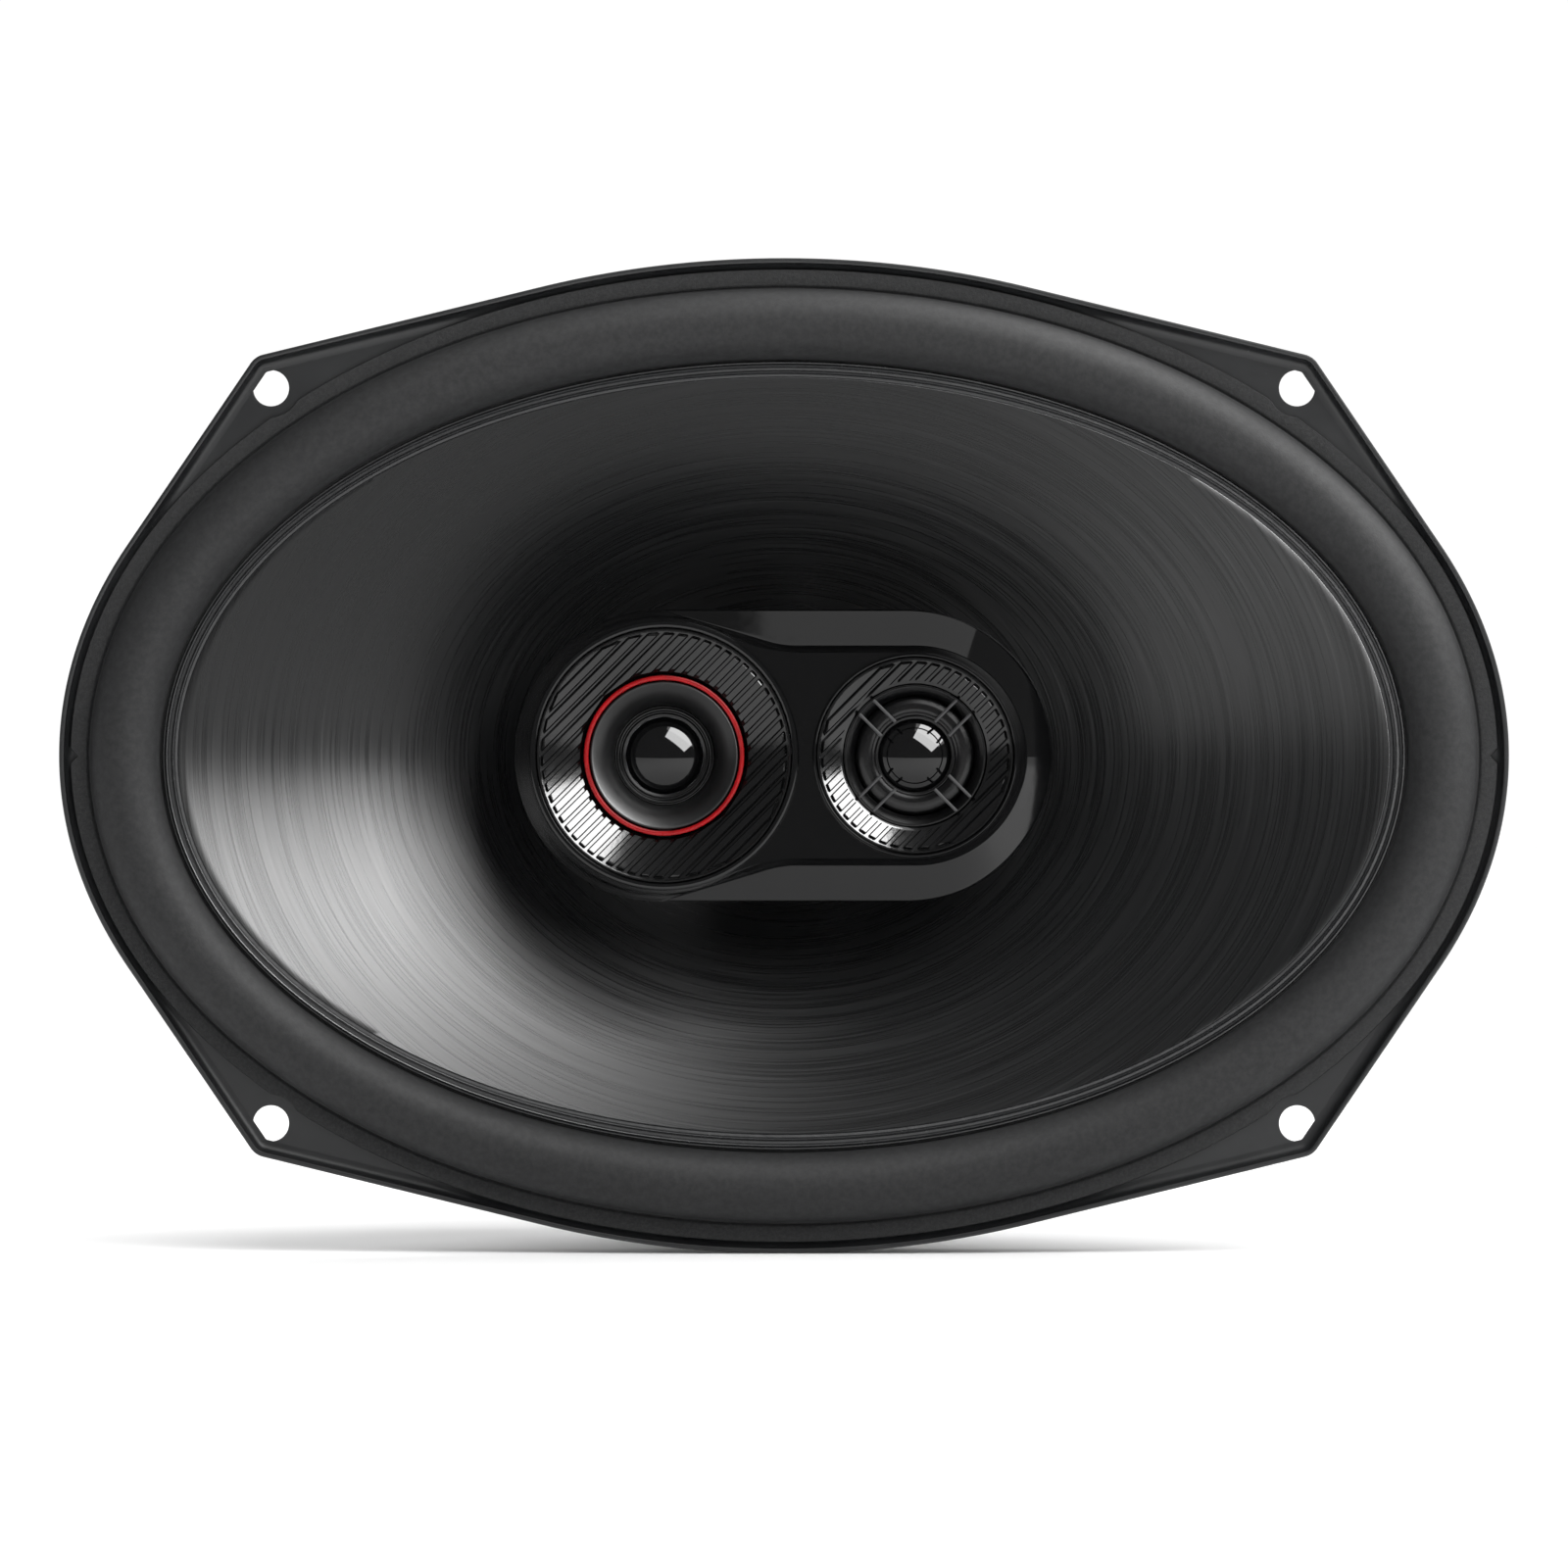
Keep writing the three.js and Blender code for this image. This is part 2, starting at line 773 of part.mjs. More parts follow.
addPart('pod_housing', podHousing(), glossPlastic());
addPart('pod_base', podBase(), mattePlastic());
addPart('pod_stem', podStem(), zincSteel());
addPart('pod_bolt', podBolt(), zincSteel());
addPart(
  'stem_washer',
  ring(WASHER.bore, WASHER.radius, WASHER.front, WASHER.rear, ROUND_STEPS),
  zincSteel(),
);
addPart(
  'stem_nut',
  plate(
    circlePoints(0, 0, NUT.acrossCorners / 2 + 0.001, 6),
    [circlePoints(0, 0, NUT.bore, SMALL_STEPS)],
    NUT.front,
    NUT.rear,
  ),
  zincSteel(),
);

[-1, 1].forEach((side, i) => {
  const { headRadius, headHeight, radius, front } = POD_SCREW;
  const headFront = POD.rear + GAP;
  const body = rivet(headRadius, headHeight, radius, 0, headFront - front);
  body.rotateX(Math.PI);
  body.translate(POD.boss.x, headFront, side * POD.boss.z);
  addPart(`pod_screw_${i + 1}`, body, zincSteel());
});

// ---------------------------------------------------------------- the two drivers in the pod

/** The funnel-shaped ring that fills one of the housing's bores. */
function bezel(driver) {
  const outer = driver.boreRadius - GAP;
  const profile = [
    [driver.bezelInner, driver.bezelRear],
    [outer, BEZEL_FRONT],
    [outer, BEZEL_FRONT + BEZEL_THICKNESS],
    [driver.bezelInner, driver.bezelRear + BEZEL_THICKNESS],
  ];
  return turned(profile, ROUND_STEPS);
}

function domeShell(driver, steps = 5) {
  const { domeRadius, domeHeight, domeBase } = driver;
  const sphere = (domeRadius ** 2 + domeHeight ** 2) / (2 * domeHeight);
  const centre = domeBase - domeHeight + sphere;
  const cap = (radius) => {
    const edge = Math.asin(domeRadius / sphere);
    const points = [];
    for (let i = 0; i <= steps; i++) {
      const angle = (edge * i) / steps;
      points.push([radius * Math.sin(angle), centre - radius * Math.cos(angle)]);
    }
    return points;
  };
  const profile = [...cap(sphere), ...cap(sphere - FILM).reverse()];
  return turned(profile, SMALL_STEPS);
}

/** The half-roll ring between a dome and the fixed ring round it. */
function compliantRing(driver) {
  const inner = driver.domeRadius + GAP;
  const outer = driver.surroundOuter;
  const middle = (inner + outer) / 2;
  const half = (outer - inner) / 2;
  const steps = 6;
  const arch = (reach) => {
    const points = [];
    for (let i = 0; i <= steps; i++) {
      const angle = (Math.PI * i) / steps;
      const rise = (reach / half) * Math.min(half, 0.9) * Math.sin(angle);
      points.push([middle + reach * Math.cos(angle), driver.domeBase - rise]);
    }
    return points;
  };
  const profile = [...arch(half), ...arch(half - FILM).reverse()];
  return turned(profile, SMALL_STEPS);
}

/** The coil, pole plate, magnet and cup behind a dome. */
function addSmallMotor(prefix, driver, parent) {
  const { airGap, plateThickness, magnetThickness, cupWall, plateSetBack } = SMALL_MOTOR;
  const coilOuter = driver.domeRadius - 0.1;
  const coilInner = coilOuter - SMALL_COIL.wall;
  const coilFront = driver.domeBase + FILM;
  const plateFront = driver.domeBase + plateSetBack;
  const plateRear = plateFront + plateThickness;
  const magnetRear = plateRear + GAP + magnetThickness;
  const cupInner = coilOuter + airGap;
  const cupOuter = cupInner + cupWall;
  const floorFront = magnetRear + GAP;
  addPart(
    `${prefix}_coil`,
    ring(coilInner, coilOuter, coilFront, coilFront + SMALL_COIL.length, SMALL_STEPS),
    copper(),
    parent,
  );
  addPart(
    `${prefix}_pole_plate`,
    disc(coilInner - airGap, plateFront, plateRear, SMALL_STEPS),
    zincSteel(),
    parent,
  );
  addPart(
    `${prefix}_magnet`,
    disc(coilInner - 2 * airGap, plateRear + GAP, magnetRear, SMALL_STEPS),
    neodymium(),
    parent,
  );
  const cup = [
    [0, floorFront],
    [cupInner, floorFront],
    [cupInner, plateFront],
    [cupOuter, plateFront],
    [cupOuter, floorFront + cupWall],
    [0, floorFront + cupWall],
  ];
  addPart(`${prefix}_yoke`, turned(cup, SMALL_STEPS), zincSteel(), parent);
}

/** The midrange's smooth horn, from a wide mouth down to the fixed seat of its diaphragm. */
function midrangeThroat() {
  const d = MIDRANGE;
  const steps = 6;
  const flare = [];
  for (let i = 0; i <= steps; i++) {
    const angle = (Math.PI / 2) * (i / steps);
    flare.push([
      d.throatNeck + (d.throatMouth - GAP - d.throatNeck) * (1 - Math.cos(angle)),
      d.throatRear + (d.throatFront - d.throatRear) * Math.sin(angle),
    ]);
  }
  const profile = [...flare, [d.throatMouth, d.throatFront], [d.throatMouth, d.seatRear]];
  return turned([...profile, [d.throatNeck, d.seatRear]], ROUND_STEPS);
}

/** Pairs of thin ribs between an outer ring and a hub ring that the dome looks through. */
function tweeterGuard() {
  const { outer, ring: ringWidth, hub, hubRing, front, rear } = TWEETER.guard;
  const outerRing = ring(outer - ringWidth, outer, front, rear, ROUND_STEPS);
  const hubSolid = ring(hub, hub + hubRing, front, rear, ROUND_STEPS);
  const start = hub + hubRing / 2;
  const end = outer - ringWidth / 2;
  const ribs = TWEETER.ribAngles.flatMap((angle) =>
    [-1, 1].map((side) => {
      const offset = (side * TWEETER.ribSpacing) / 2;
      const from = Math.sqrt(start ** 2 - offset ** 2);
      const to = Math.sqrt(end ** 2 - offset ** 2);
      const rib = new THREE.BoxGeometry(to - from, rear - front - 0.2, TWEETER.ribWidth);
      rib.translate((from + to) / 2, (front + rear) / 2, offset);
      return rib.rotateY(-radians(angle));
    }),
  );
  return combine(outerRing, { join: [...ribs, hubSolid] });
}

const midrange = new THREE.Group();
midrange.position.x = MIDRANGE.x;
speaker.add(midrange);

const { trim } = MIDRANGE;
addPart('mid_bezel', bezel(MIDRANGE), glossPlastic(), midrange);
addPart(
  'mid_trim_ring',
  ring(trim.inner, trim.outer, trim.front, trim.rear, ROUND_STEPS),
  redPlastic(),
  midrange,
);
addPart('mid_throat', midrangeThroat(), mattePlastic(), midrange);
addPart('mid_surround', compliantRing(MIDRANGE), rubber(), midrange);
addPart('mid_dome', domeShell(MIDRANGE), glossPlastic(), midrange);
addSmallMotor('mid', MIDRANGE, midrange);

const tweeter = new THREE.Group();
tweeter.position.x = TWEETER.x;
speaker.add(tweeter);

addPart('tweeter_bezel', bezel(TWEETER), glossPlastic(), tweeter);
addPart('tweeter_guard', tweeterGuard(), glossPlastic(), tweeter);
addPart(
  'tweeter_frame',
  ring(
    TWEETER.frameInner,
    TWEETER.frameOuter,
    TWEETER.frameFront,
    TWEETER.frameRear,
    ROUND_STEPS,
  ),
  mattePlastic(),
  tweeter,
);
addPart('tweeter_surround', compliantRing(TWEETER), rubber(), tweeter);
addPart('tweeter_dome', domeShell(TWEETER), glossPlastic(), tweeter);
addSmallMotor('tweeter', TWEETER, tweeter);

export default speaker;
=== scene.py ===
"""The looks of an oval three-way coaxial car loudspeaker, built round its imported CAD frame.

The frame is in metres, with +X along the long axis, +Z up and the cone facing -Y. Shapes here are
drawn in millimetres and scaled once, when a mesh is made.
"""
import math

import bmesh
import bpy
import numpy as np
from mathutils import Matrix, Vector
from mathutils.geometry import delaunay_2d_cdt


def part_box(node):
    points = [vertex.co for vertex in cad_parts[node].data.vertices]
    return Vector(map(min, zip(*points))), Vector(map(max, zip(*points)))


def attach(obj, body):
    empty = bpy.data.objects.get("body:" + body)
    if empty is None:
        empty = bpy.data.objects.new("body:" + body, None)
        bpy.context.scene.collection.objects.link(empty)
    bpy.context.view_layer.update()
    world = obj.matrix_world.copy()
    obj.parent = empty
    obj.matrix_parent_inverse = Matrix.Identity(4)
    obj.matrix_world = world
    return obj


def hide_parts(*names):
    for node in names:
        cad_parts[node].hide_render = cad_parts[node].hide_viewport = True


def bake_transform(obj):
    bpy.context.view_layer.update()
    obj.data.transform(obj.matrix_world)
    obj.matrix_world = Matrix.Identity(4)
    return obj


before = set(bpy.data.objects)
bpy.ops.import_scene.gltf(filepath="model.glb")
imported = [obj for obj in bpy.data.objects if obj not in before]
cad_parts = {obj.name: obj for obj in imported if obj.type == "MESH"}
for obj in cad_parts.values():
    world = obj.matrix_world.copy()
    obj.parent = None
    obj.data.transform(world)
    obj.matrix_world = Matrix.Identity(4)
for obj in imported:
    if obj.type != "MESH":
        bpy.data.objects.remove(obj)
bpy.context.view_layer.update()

MM = 0.001
OVAL_STEPS = 384
ROUND_STEPS = 160
SMALL_STEPS = 96


# ---------------------------------------------------------------- sizes, from the frame

def box_mm(node):
    """Lowest and highest corner of a CAD node, in millimetres."""
    low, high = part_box(node)
    return np.array(low) / MM, np.array(high) / MM


def centre_mm(node):
    low, high = box_mm(node)
    return (low + high) / 2


FLANGE_A, _, FLANGE_B = box_mm("basket")[1]
OVAL_DIFFERENCE = FLANGE_A - FLANGE_B
RIM_FRONT = box_mm("basket")[0][1]
SHEET = 1.2

EAR_HOLE = (83.6, 59.9)
EAR_HOLE_RADIUS = 2.95
EAR_CORNER = (83.94, 61.9)
EAR_CORNER_RADIUS = 3.5

BASKET_TOP = 111.4
LEDGE_RADIUS, LEDGE_INNER, LEDGE_FRONT = 54, 46.8, 40
SEAT_RADIUS, SEAT_FRONT, SEAT_INNER = 42.6, 50.8, 24
WALL_BENDS = [(110.4, 4), (102, 14), (80, 28)]
WINDOW_FRONT, WINDOW_REAR = 13, 38.4
SPOKE_WIDTH = 16
SPOKE_ANGLES = (30, 90, 150, 210, 270, 330)

CONE_RIM = box_mm("cone")[1][0]
CONE_FACE = 98.5
CONE_NECK = 16.15
CONE_RIM_FRONT = -2.5
CONE_NECK_FRONT = 34.5
CONE_NECK_REAR = box_mm("cone")[1][1]
CONE_WALL = 0.6
CONE_LINEAR_SHARE, CONE_FLARE = 0.65, 3

LIP_OUTER = box_mm("surround")[1][0]
ROLL_OUTER, ROLL_INNER = 113.1, 101.6
ROLL_HEIGHT = 5.6
LIP_FRONT = -2.3

MID_X = centre_mm("mid_bezel")[0]
TWEETER_X = centre_mm("tweeter_bezel")[0]
POD_LOW, POD_HIGH = box_mm("pod_housing")
POD_BASE_RADIUS = POD_HIGH[2]
POD_BASE_CENTRE = POD_HIGH[0] - POD_BASE_RADIUS
POD_LIP_FRONT, POD_REAR = POD_LOW[1], POD_HIGH[1]
POD_FACE = POD_LIP_FRONT + 0.6
MID_LIP, MID_BORE = 21.7, 20.7
TWEETER_LIP, TWEETER_BORE = 16.5, 16.0


# ---------------------------------------------------------------- mesh helpers

FLAT = "flat"


def is_inside(point, loop):
    """Whether a point lies inside a closed loop of (x, z) points."""
    ring = np.asarray(loop, float)
    following = np.roll(ring, -1, axis=0)
    spans = (ring[:, 1] > point[1]) != (following[:, 1] > point[1])
    start, end = ring[spans], following[spans]
    cross = start[:, 0] + (point[1] - start[:, 1]) * (end[:, 0] - start[:, 0]) / (end[:, 1] - start[:, 1])
    return np.count_nonzero(cross > point[0]) % 2 == 1


class Shape:
    """Vertices in millimetres and faces, gathered from grids and flat polygons."""

    def __init__(self):
        self.vertices = []
        self.faces = []
        self.slots = []
        self.smooth = []

    def grid(self, rows, closed_rows=False, closed_columns=True, slot=0):
        rows = np.asarray(rows, float)
        height, width = rows.shape[:2]
        start = len(self.vertices)
        self.vertices += rows.reshape(-1, 3).tolist()
        for p in range(height if closed_rows else height - 1):
            for n in range(width if closed_columns else width - 1):
                across, down = (n + 1) % width, (p + 1) % height
                corners = (p * width + n, p * width + across, down * width + across, down * width + n)
                self.faces.append([start + c for c in corners])
                self.slots.append(slot)
                self.smooth.append(True)
        return self

    def flat(self, loops, y, slot=0):
        """A flat face at one depth: the first loop of (x, z) points, less the other loops."""
        start = len(self.vertices)
        points, edges = [], []
        for loop in loops:
            first, count = len(points), len(loop)
            points += [Vector(p) for p in loop]
            edges += [(first + i, first + (i + 1) % count) for i in range(count)]
        corners, _, triangles, _, _, _ = delaunay_2d_cdt(points, edges, [], 0, 1e-6)
        self.vertices += [(x, y, z) for x, z in corners]
        for triangle in triangles:
            middle = sum((corners[i] for i in triangle), Vector((0, 0))) / 3
            if sum(is_inside(middle, loop) for loop in loops) == 1:
                self.faces.append([start + i for i in triangle])
                self.slots.append(slot)
                self.smooth.append(False)
        return self

    def object(self, name, *materials, sharp=38):
        """A Blender object with welded vertices, outward faces and edges sharp above an angle."""
        mesh = bpy.data.meshes.new(name)
        mesh.from_pydata([(x * MM, y * MM, z * MM) for x, y, z in self.vertices], [], self.faces)
        for material in materials:
            mesh.materials.append(material)
        mesh.polygons.foreach_set("material_index", self.slots)
        work = bmesh.new()
        work.from_mesh(mesh)
        kept_flat = work.faces.layers.int.new(FLAT)
        for face, smooth in zip(work.faces, self.smooth):
            face[kept_flat] = 0 if smooth else 1
        bmesh.ops.remove_doubles(work, verts=work.verts, dist=1e-7)
        bmesh.ops.recalc_face_normals(work, faces=work.faces)
        work.to_mesh(mesh)
        work.free()
        return finished(name, mesh, sharp)


def shade(mesh, sharp):
    """Smooth shading up to an angle, but none across the faces that were made flat."""
    mesh.shade_smooth()
    mesh.set_sharp_from_angle(angle=math.radians(sharp))
    flat = np.zeros(len(mesh.polygons), np.int32)
    mesh.attributes[FLAT].data.foreach_get("value", flat)
    mesh.polygons.foreach_set("use_smooth", flat == 0)


def finished(name, mesh, sharp):
    shade(mesh, sharp)
    obj = bpy.data.objects.new(name, mesh)
    bpy.context.scene.collection.objects.link(obj)
    return obj


def rounded(points, radius, steps=4, closed=True):
    """A profile with each corner turned into a short curve."""
    points = [np.array(p, float) for p in points]
    count = len(points)
    result = []
    for i, corner in enumerate(points):
        if not closed and i in (0, count - 1):
            result.append(corner)
            continue
        before = points[i - 1] - corner
        after = points[(i + 1) % count] - corner
        reach = min(radius, 0.45 * np.linalg.norm(before), 0.45 * np.linalg.norm(after))
        start = corner + before / np.linalg.norm(before) * reach
        end = corner + after / np.linalg.norm(after) * reach
        for t in np.linspace(0, 1, steps + 1):
            result.append((1 - t) ** 2 * start + 2 * t * (1 - t) * corner + t**2 * end)
    return result


def turned(profile, steps=ROUND_STEPS, short=None, x=0.0, z=0.0):
    """Rows of points: a profile of (radius, y) turned about the Y axis, or run round an oval."""
    angle = np.linspace(0, 2 * math.pi, steps, endpoint=False)
    rows = []
    for radius, y in profile:
        other = radius if short is None else short(radius)
        rows.append(
            np.stack([x + radius * np.cos(angle), np.full(steps, y), z + other * np.sin(angle)], -1)
        )
    return np.array(rows)


def circle(x, z, radius, steps=48):
    angle = np.linspace(0, 2 * math.pi, steps, endpoint=False)
    return [(x + radius * math.cos(a), z + radius * math.sin(a)) for a in angle]


def oval_short(radius):
    return radius - OVAL_DIFFERENCE


def oval(radius):
    angle = np.linspace(0, 2 * math.pi, OVAL_STEPS, endpoint=False)
    return [(radius * math.cos(a), oval_short(radius) * math.sin(a)) for a in angle]


def blended_short(round_radius, oval_radius):
    """Round up to one radius, the full oval from the other out."""

    def short(radius):
        share = min(max((radius - round_radius) / (oval_radius - round_radius), 0), 1)
        return radius - OVAL_DIFFERENCE * share

    return short


def walled(line, thickness):
    """A line of (radius, y) points given a wall, as a closed profile."""
    line = [np.array(p, float) for p in line]
    other = []
    for i, point in enumerate(line):
        along = line[min(i + 1, len(line) - 1)] - line[max(i - 1, 0)]
        along /= np.linalg.norm(along)
        other.append(point + thickness * np.array([along[1], -along[0]]))
    return line + other[::-1]


def place(obj, node, body="frame"):
    """obj stands for a CAD node, which is hidden, and rides on its body."""
    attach(obj, body)
    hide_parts(node)
    return obj


# ---------------------------------------------------------------- materials

class Surface:
    """One Principled material, with procedural detail wired into it."""

    def __init__(self, name, color, roughness, metallic=0.0, specular=0.5):
        self.material = bpy.data.materials.new(name)
        self.material.use_nodes = True
        self.tree = self.material.node_tree
        self.shader = self.tree.nodes["Principled BSDF"]
        self.color = color
        self.shader.inputs["Base Color"].default_value = (*color, 1)
        self.shader.inputs["Roughness"].default_value = roughness
        self.shader.inputs["Metallic"].default_value = metallic
        self.shader.inputs["Specular IOR Level"].default_value = specular
        self.roughness = roughness
        self.last_bump = None

    def node(self, kind, **values):
        made = self.tree.nodes.new(kind)
        for key, value in values.items():
            setattr(made, key, value)
        return made

    def link(self, source, target):
        self.tree.links.new(source, target)

    def coordinates(self, stretch=(1, 1, 1)):
        place_node = self.node("ShaderNodeTexCoord")
        scaled = self.node("ShaderNodeMapping")
        scaled.inputs["Scale"].default_value = stretch
        self.link(place_node.outputs["Object"], scaled.inputs["Vector"])
        return scaled.outputs["Vector"]

    def math(self, operation, a, b=None):
        made = self.node("ShaderNodeMath", operation=operation)
        for socket, value in zip(made.inputs, (a, b)):
            if value is None:
                continue
            if isinstance(value, (int, float)):
                socket.default_value = value
            else:
                self.link(value, socket)
        return made.outputs[0]

    def noise(self, scale, detail=3.0, stretch=(1, 1, 1), vector=None, rough=0.5):
        """Noise with about `scale` lumps to the millimetre, from 0 to 1."""
        made = self.node("ShaderNodeTexNoise")
        made.inputs["Scale"].default_value = scale / MM
        made.inputs["Detail"].default_value = detail
        made.inputs["Roughness"].default_value = rough
        self.link(vector or self.coordinates(stretch), made.inputs["Vector"])
        return made.outputs["Fac"]

    def ramp(self, value, low, high, to_low=0.0, to_high=1.0):
        made = self.node("ShaderNodeMapRange")
        for key, number in zip(("From Min", "From Max", "To Min", "To Max"), (low, high, to_low, to_high)):
            made.inputs[key].default_value = number
        self.link(value, made.inputs["Value"])
        return made.outputs["Result"]

    def tint(self, factor, other):
        """The base colour goes to the other colour where the factor is 1."""
        made = self.node("ShaderNodeMix", data_type="RGBA")
        socket = self.shader.inputs["Base Color"]
        made.inputs[6].default_value = (*self.color, 1)
        if socket.is_linked:
            self.link(socket.links[0].from_socket, made.inputs[6])
        made.inputs[7].default_value = (*other, 1)
        self.link(factor, made.inputs[0])
        self.link(made.outputs[2], socket)

    def vary_roughness(self, factor, change):
        socket = self.shader.inputs["Roughness"]
        base = socket.links[0].from_socket if socket.is_linked else self.roughness
        added = self.math("MULTIPLY", factor, change)
        self.link(self.math("ADD", added, base), socket)

    def bump(self, height, distance, strength=1.0):
        made = self.node("ShaderNodeBump")
        made.inputs["Distance"].default_value = distance * MM
        made.inputs["Strength"].default_value = strength
        self.link(height, made.inputs["Height"])
        if self.last_bump is not None:
            self.link(self.last_bump, made.inputs["Normal"])
        self.last_bump = made.outputs["Normal"]
        self.link(self.last_bump, self.shader.inputs["Normal"])

    def polar(self, along, across, squeeze):
        """Coordinates that run round the Y axis: few lumps along a turn, many across it."""
        separate = self.node("ShaderNodeSeparateXYZ")
        self.link(self.node("ShaderNodeTexCoord").outputs["Object"], separate.inputs[0])
        x, z = separate.outputs[0], self.math("MULTIPLY", separate.outputs[2], squeeze)
        squared = self.math("ADD", self.math("MULTIPLY", x, x), self.math("MULTIPLY", z, z))
        radius = self.math("SQRT", squared)
        combine = self.node("ShaderNodeCombineXYZ")
        self.link(self.math("MULTIPLY", self.math("DIVIDE", x, radius), along), combine.inputs[0])
        self.link(self.math("MULTIPLY", radius, across / MM), combine.inputs[1])
        self.link(self.math("MULTIPLY", self.math("DIVIDE", z, radius), along), combine.inputs[2])
        return combine.outputs[0]


BLACK = (0.003, 0.0031, 0.0034)
DARK_STEEL = (0.012, 0.0125, 0.0135)
DUST = (0.25, 0.25, 0.25)


def plain(name, color, roughness, mottle=None, grain=None, patch=None, metallic=0.0, specular=0.5):
    """A finish with uneven gloss (mottle), a fine grain and patches of another colour.

    Mottle and grain are each (scale, detail, amount), and patch is (scale, detail, low, high, colour).
    """
    s = Surface(name, color, roughness, metallic, specular)
    if patch:
        s.tint(s.ramp(s.noise(patch[0], detail=patch[1]), patch[2], patch[3]), patch[4])
    if mottle:
        s.vary_roughness(s.noise(mottle[0], detail=mottle[1]), mottle[2])
    if grain:
        s.bump(s.noise(grain[0], detail=grain[1]), grain[2])
    return s.material


def painted_steel():
    """Black paint over pressed steel, with sparse pale specks of dust."""
    s = Surface("painted_steel", DARK_STEEL, 0.3)
    s.tint(s.ramp(s.noise(0.05), 0.35, 0.7), (0.02, 0.021, 0.022))
    s.vary_roughness(s.noise(0.3, detail=4), 0.12)
    s.bump(s.noise(1.1, detail=2), 0.012)
    s.tint(s.ramp(s.noise(1.6, detail=2), 0.74, 0.8, 0, 0.25), DUST)
    return s.material


def bare_steel():
    s = Surface("zinc_steel", (0.34, 0.345, 0.36), 0.3, metallic=1.0)
    s.tint(s.ramp(s.noise(0.12, detail=5), 0.4, 0.75), (0.3, 0.305, 0.32))
    s.vary_roughness(s.noise(2.5, detail=3, stretch=(1, 0.1, 1)), 0.2)
    s.bump(s.noise(2.5, detail=3), 0.01)
    return s.material


def rubber():
    s = Surface("rubber", (0.016, 0.0163, 0.017), 0.55, specular=0.3)
    mottle = s.noise(0.9, detail=4, rough=0.65)
    s.tint(s.ramp(mottle, 0.38, 0.68), (0.026, 0.0265, 0.0275))
    s.vary_roughness(s.noise(0.35, detail=4), 0.14)
    s.bump(s.noise(2.3, detail=4, rough=0.7), 0.035)
    return s.material


def lip_rubber():
    s = Surface("rubber_lip", (0.009, 0.0093, 0.0098), 0.55, specular=0.35)
    grain = s.noise(2.4, detail=5, rough=0.75)
    s.tint(s.ramp(grain, 0.42, 0.66), (0.024, 0.0245, 0.0255))
    s.bump(grain, 0.09)
    return s.material


BRUSH_SQUEEZE = 1.25


def cone_polymer():
    """Charcoal polypropylene, brushed round the axis. `polar` has its own scale, so noise adds none."""
    s = Surface("cone_polymer", (0.004, 0.0042, 0.0045), 0.3, specular=0.3)
    s.shader.inputs["Anisotropic"].default_value = 0.75
    fine = s.noise(MM, detail=3, vector=s.polar(1.6, 3.4, BRUSH_SQUEEZE), rough=0.6)
    broad = s.noise(MM, detail=2, vector=s.polar(1.1, 0.5, BRUSH_SQUEEZE))
    s.tint(s.ramp(fine, 0.42, 0.66), (0.006, 0.0063, 0.0068))
    s.vary_roughness(s.ramp(fine, 0.35, 0.7, -0.5, 0.5), 0.1)
    s.vary_roughness(s.ramp(broad, 0.3, 0.7, -0.5, 0.5), 0.05)
    s.bump(fine, 0.0012)
    separate = s.node("ShaderNodeSeparateXYZ")
    s.link(s.node("ShaderNodeNewGeometry").outputs["Normal"], separate.inputs[0])
    across = s.node("ShaderNodeCombineXYZ")
    s.link(separate.outputs[0], across.inputs[0])
    s.link(separate.outputs[2], across.inputs[2])
    unit = s.node("ShaderNodeVectorMath", operation="NORMALIZE")
    s.link(across.outputs[0], unit.inputs[0])
    s.link(unit.outputs[0], s.shader.inputs["Tangent"])
    return s.material


def gloss_black(name, roughness):
    """Polished plastic, faintly wavy."""
    s = Surface(name, BLACK, roughness, specular=0.4)
    s.vary_roughness(s.ramp(s.noise(0.5, detail=5), 0.5, 0.8), 0.05)
    s.bump(s.noise(0.16, detail=2), 0.01, 0.4)
    return s.material


def copper():
    """Enamelled wire, wound in turns side by side."""
    s = Surface("copper", (0.6, 0.25, 0.1), 0.26, metallic=1.0)
    wave = s.node("ShaderNodeTexWave", bands_direction="Y")
    wave.inputs["Scale"].default_value = 900
    s.link(s.coordinates(), wave.inputs["Vector"])
    s.tint(s.ramp(wave.outputs["Fac"], 0.0, 0.5, 0.7, 0.0), (0.2, 0.07, 0.03))
    s.bump(wave.outputs["Fac"], 0.08)
    return s.material


def spider_cloth():
    """Resin-stiffened cotton with an open weave."""
    s = Surface("spider_cloth", (0.35, 0.19, 0.06), 0.78)
    threads = []
    for direction in ("X", "Z"):
        wave = s.node("ShaderNodeTexWave", bands_direction=direction)
        wave.inputs["Scale"].default_value = 420
        wave.inputs["Distortion"].default_value = 0.6
        s.link(s.coordinates(), wave.inputs["Vector"])
        threads.append(wave.outputs["Fac"])
    weave = s.math("MAXIMUM", *threads)
    s.tint(s.ramp(weave, 0.3, 0.8, 0.65, 0.0), (0.16, 0.07, 0.02))
    s.tint(s.ramp(s.noise(0.1, detail=4), 0.5, 0.75, 0, 0.5), (0.25, 0.12, 0.035))
    s.bump(weave, 0.12)
    return s.material


def phenolic():
    s = Surface("phenolic", (0.1, 0.045, 0.02), 0.42)
    s.tint(s.ramp(s.noise(0.5, detail=5, stretch=(0.3, 1, 1)), 0.4, 0.7), (0.15, 0.075, 0.035))
    s.bump(s.noise(2.0, detail=4), 0.02)
    return s.material


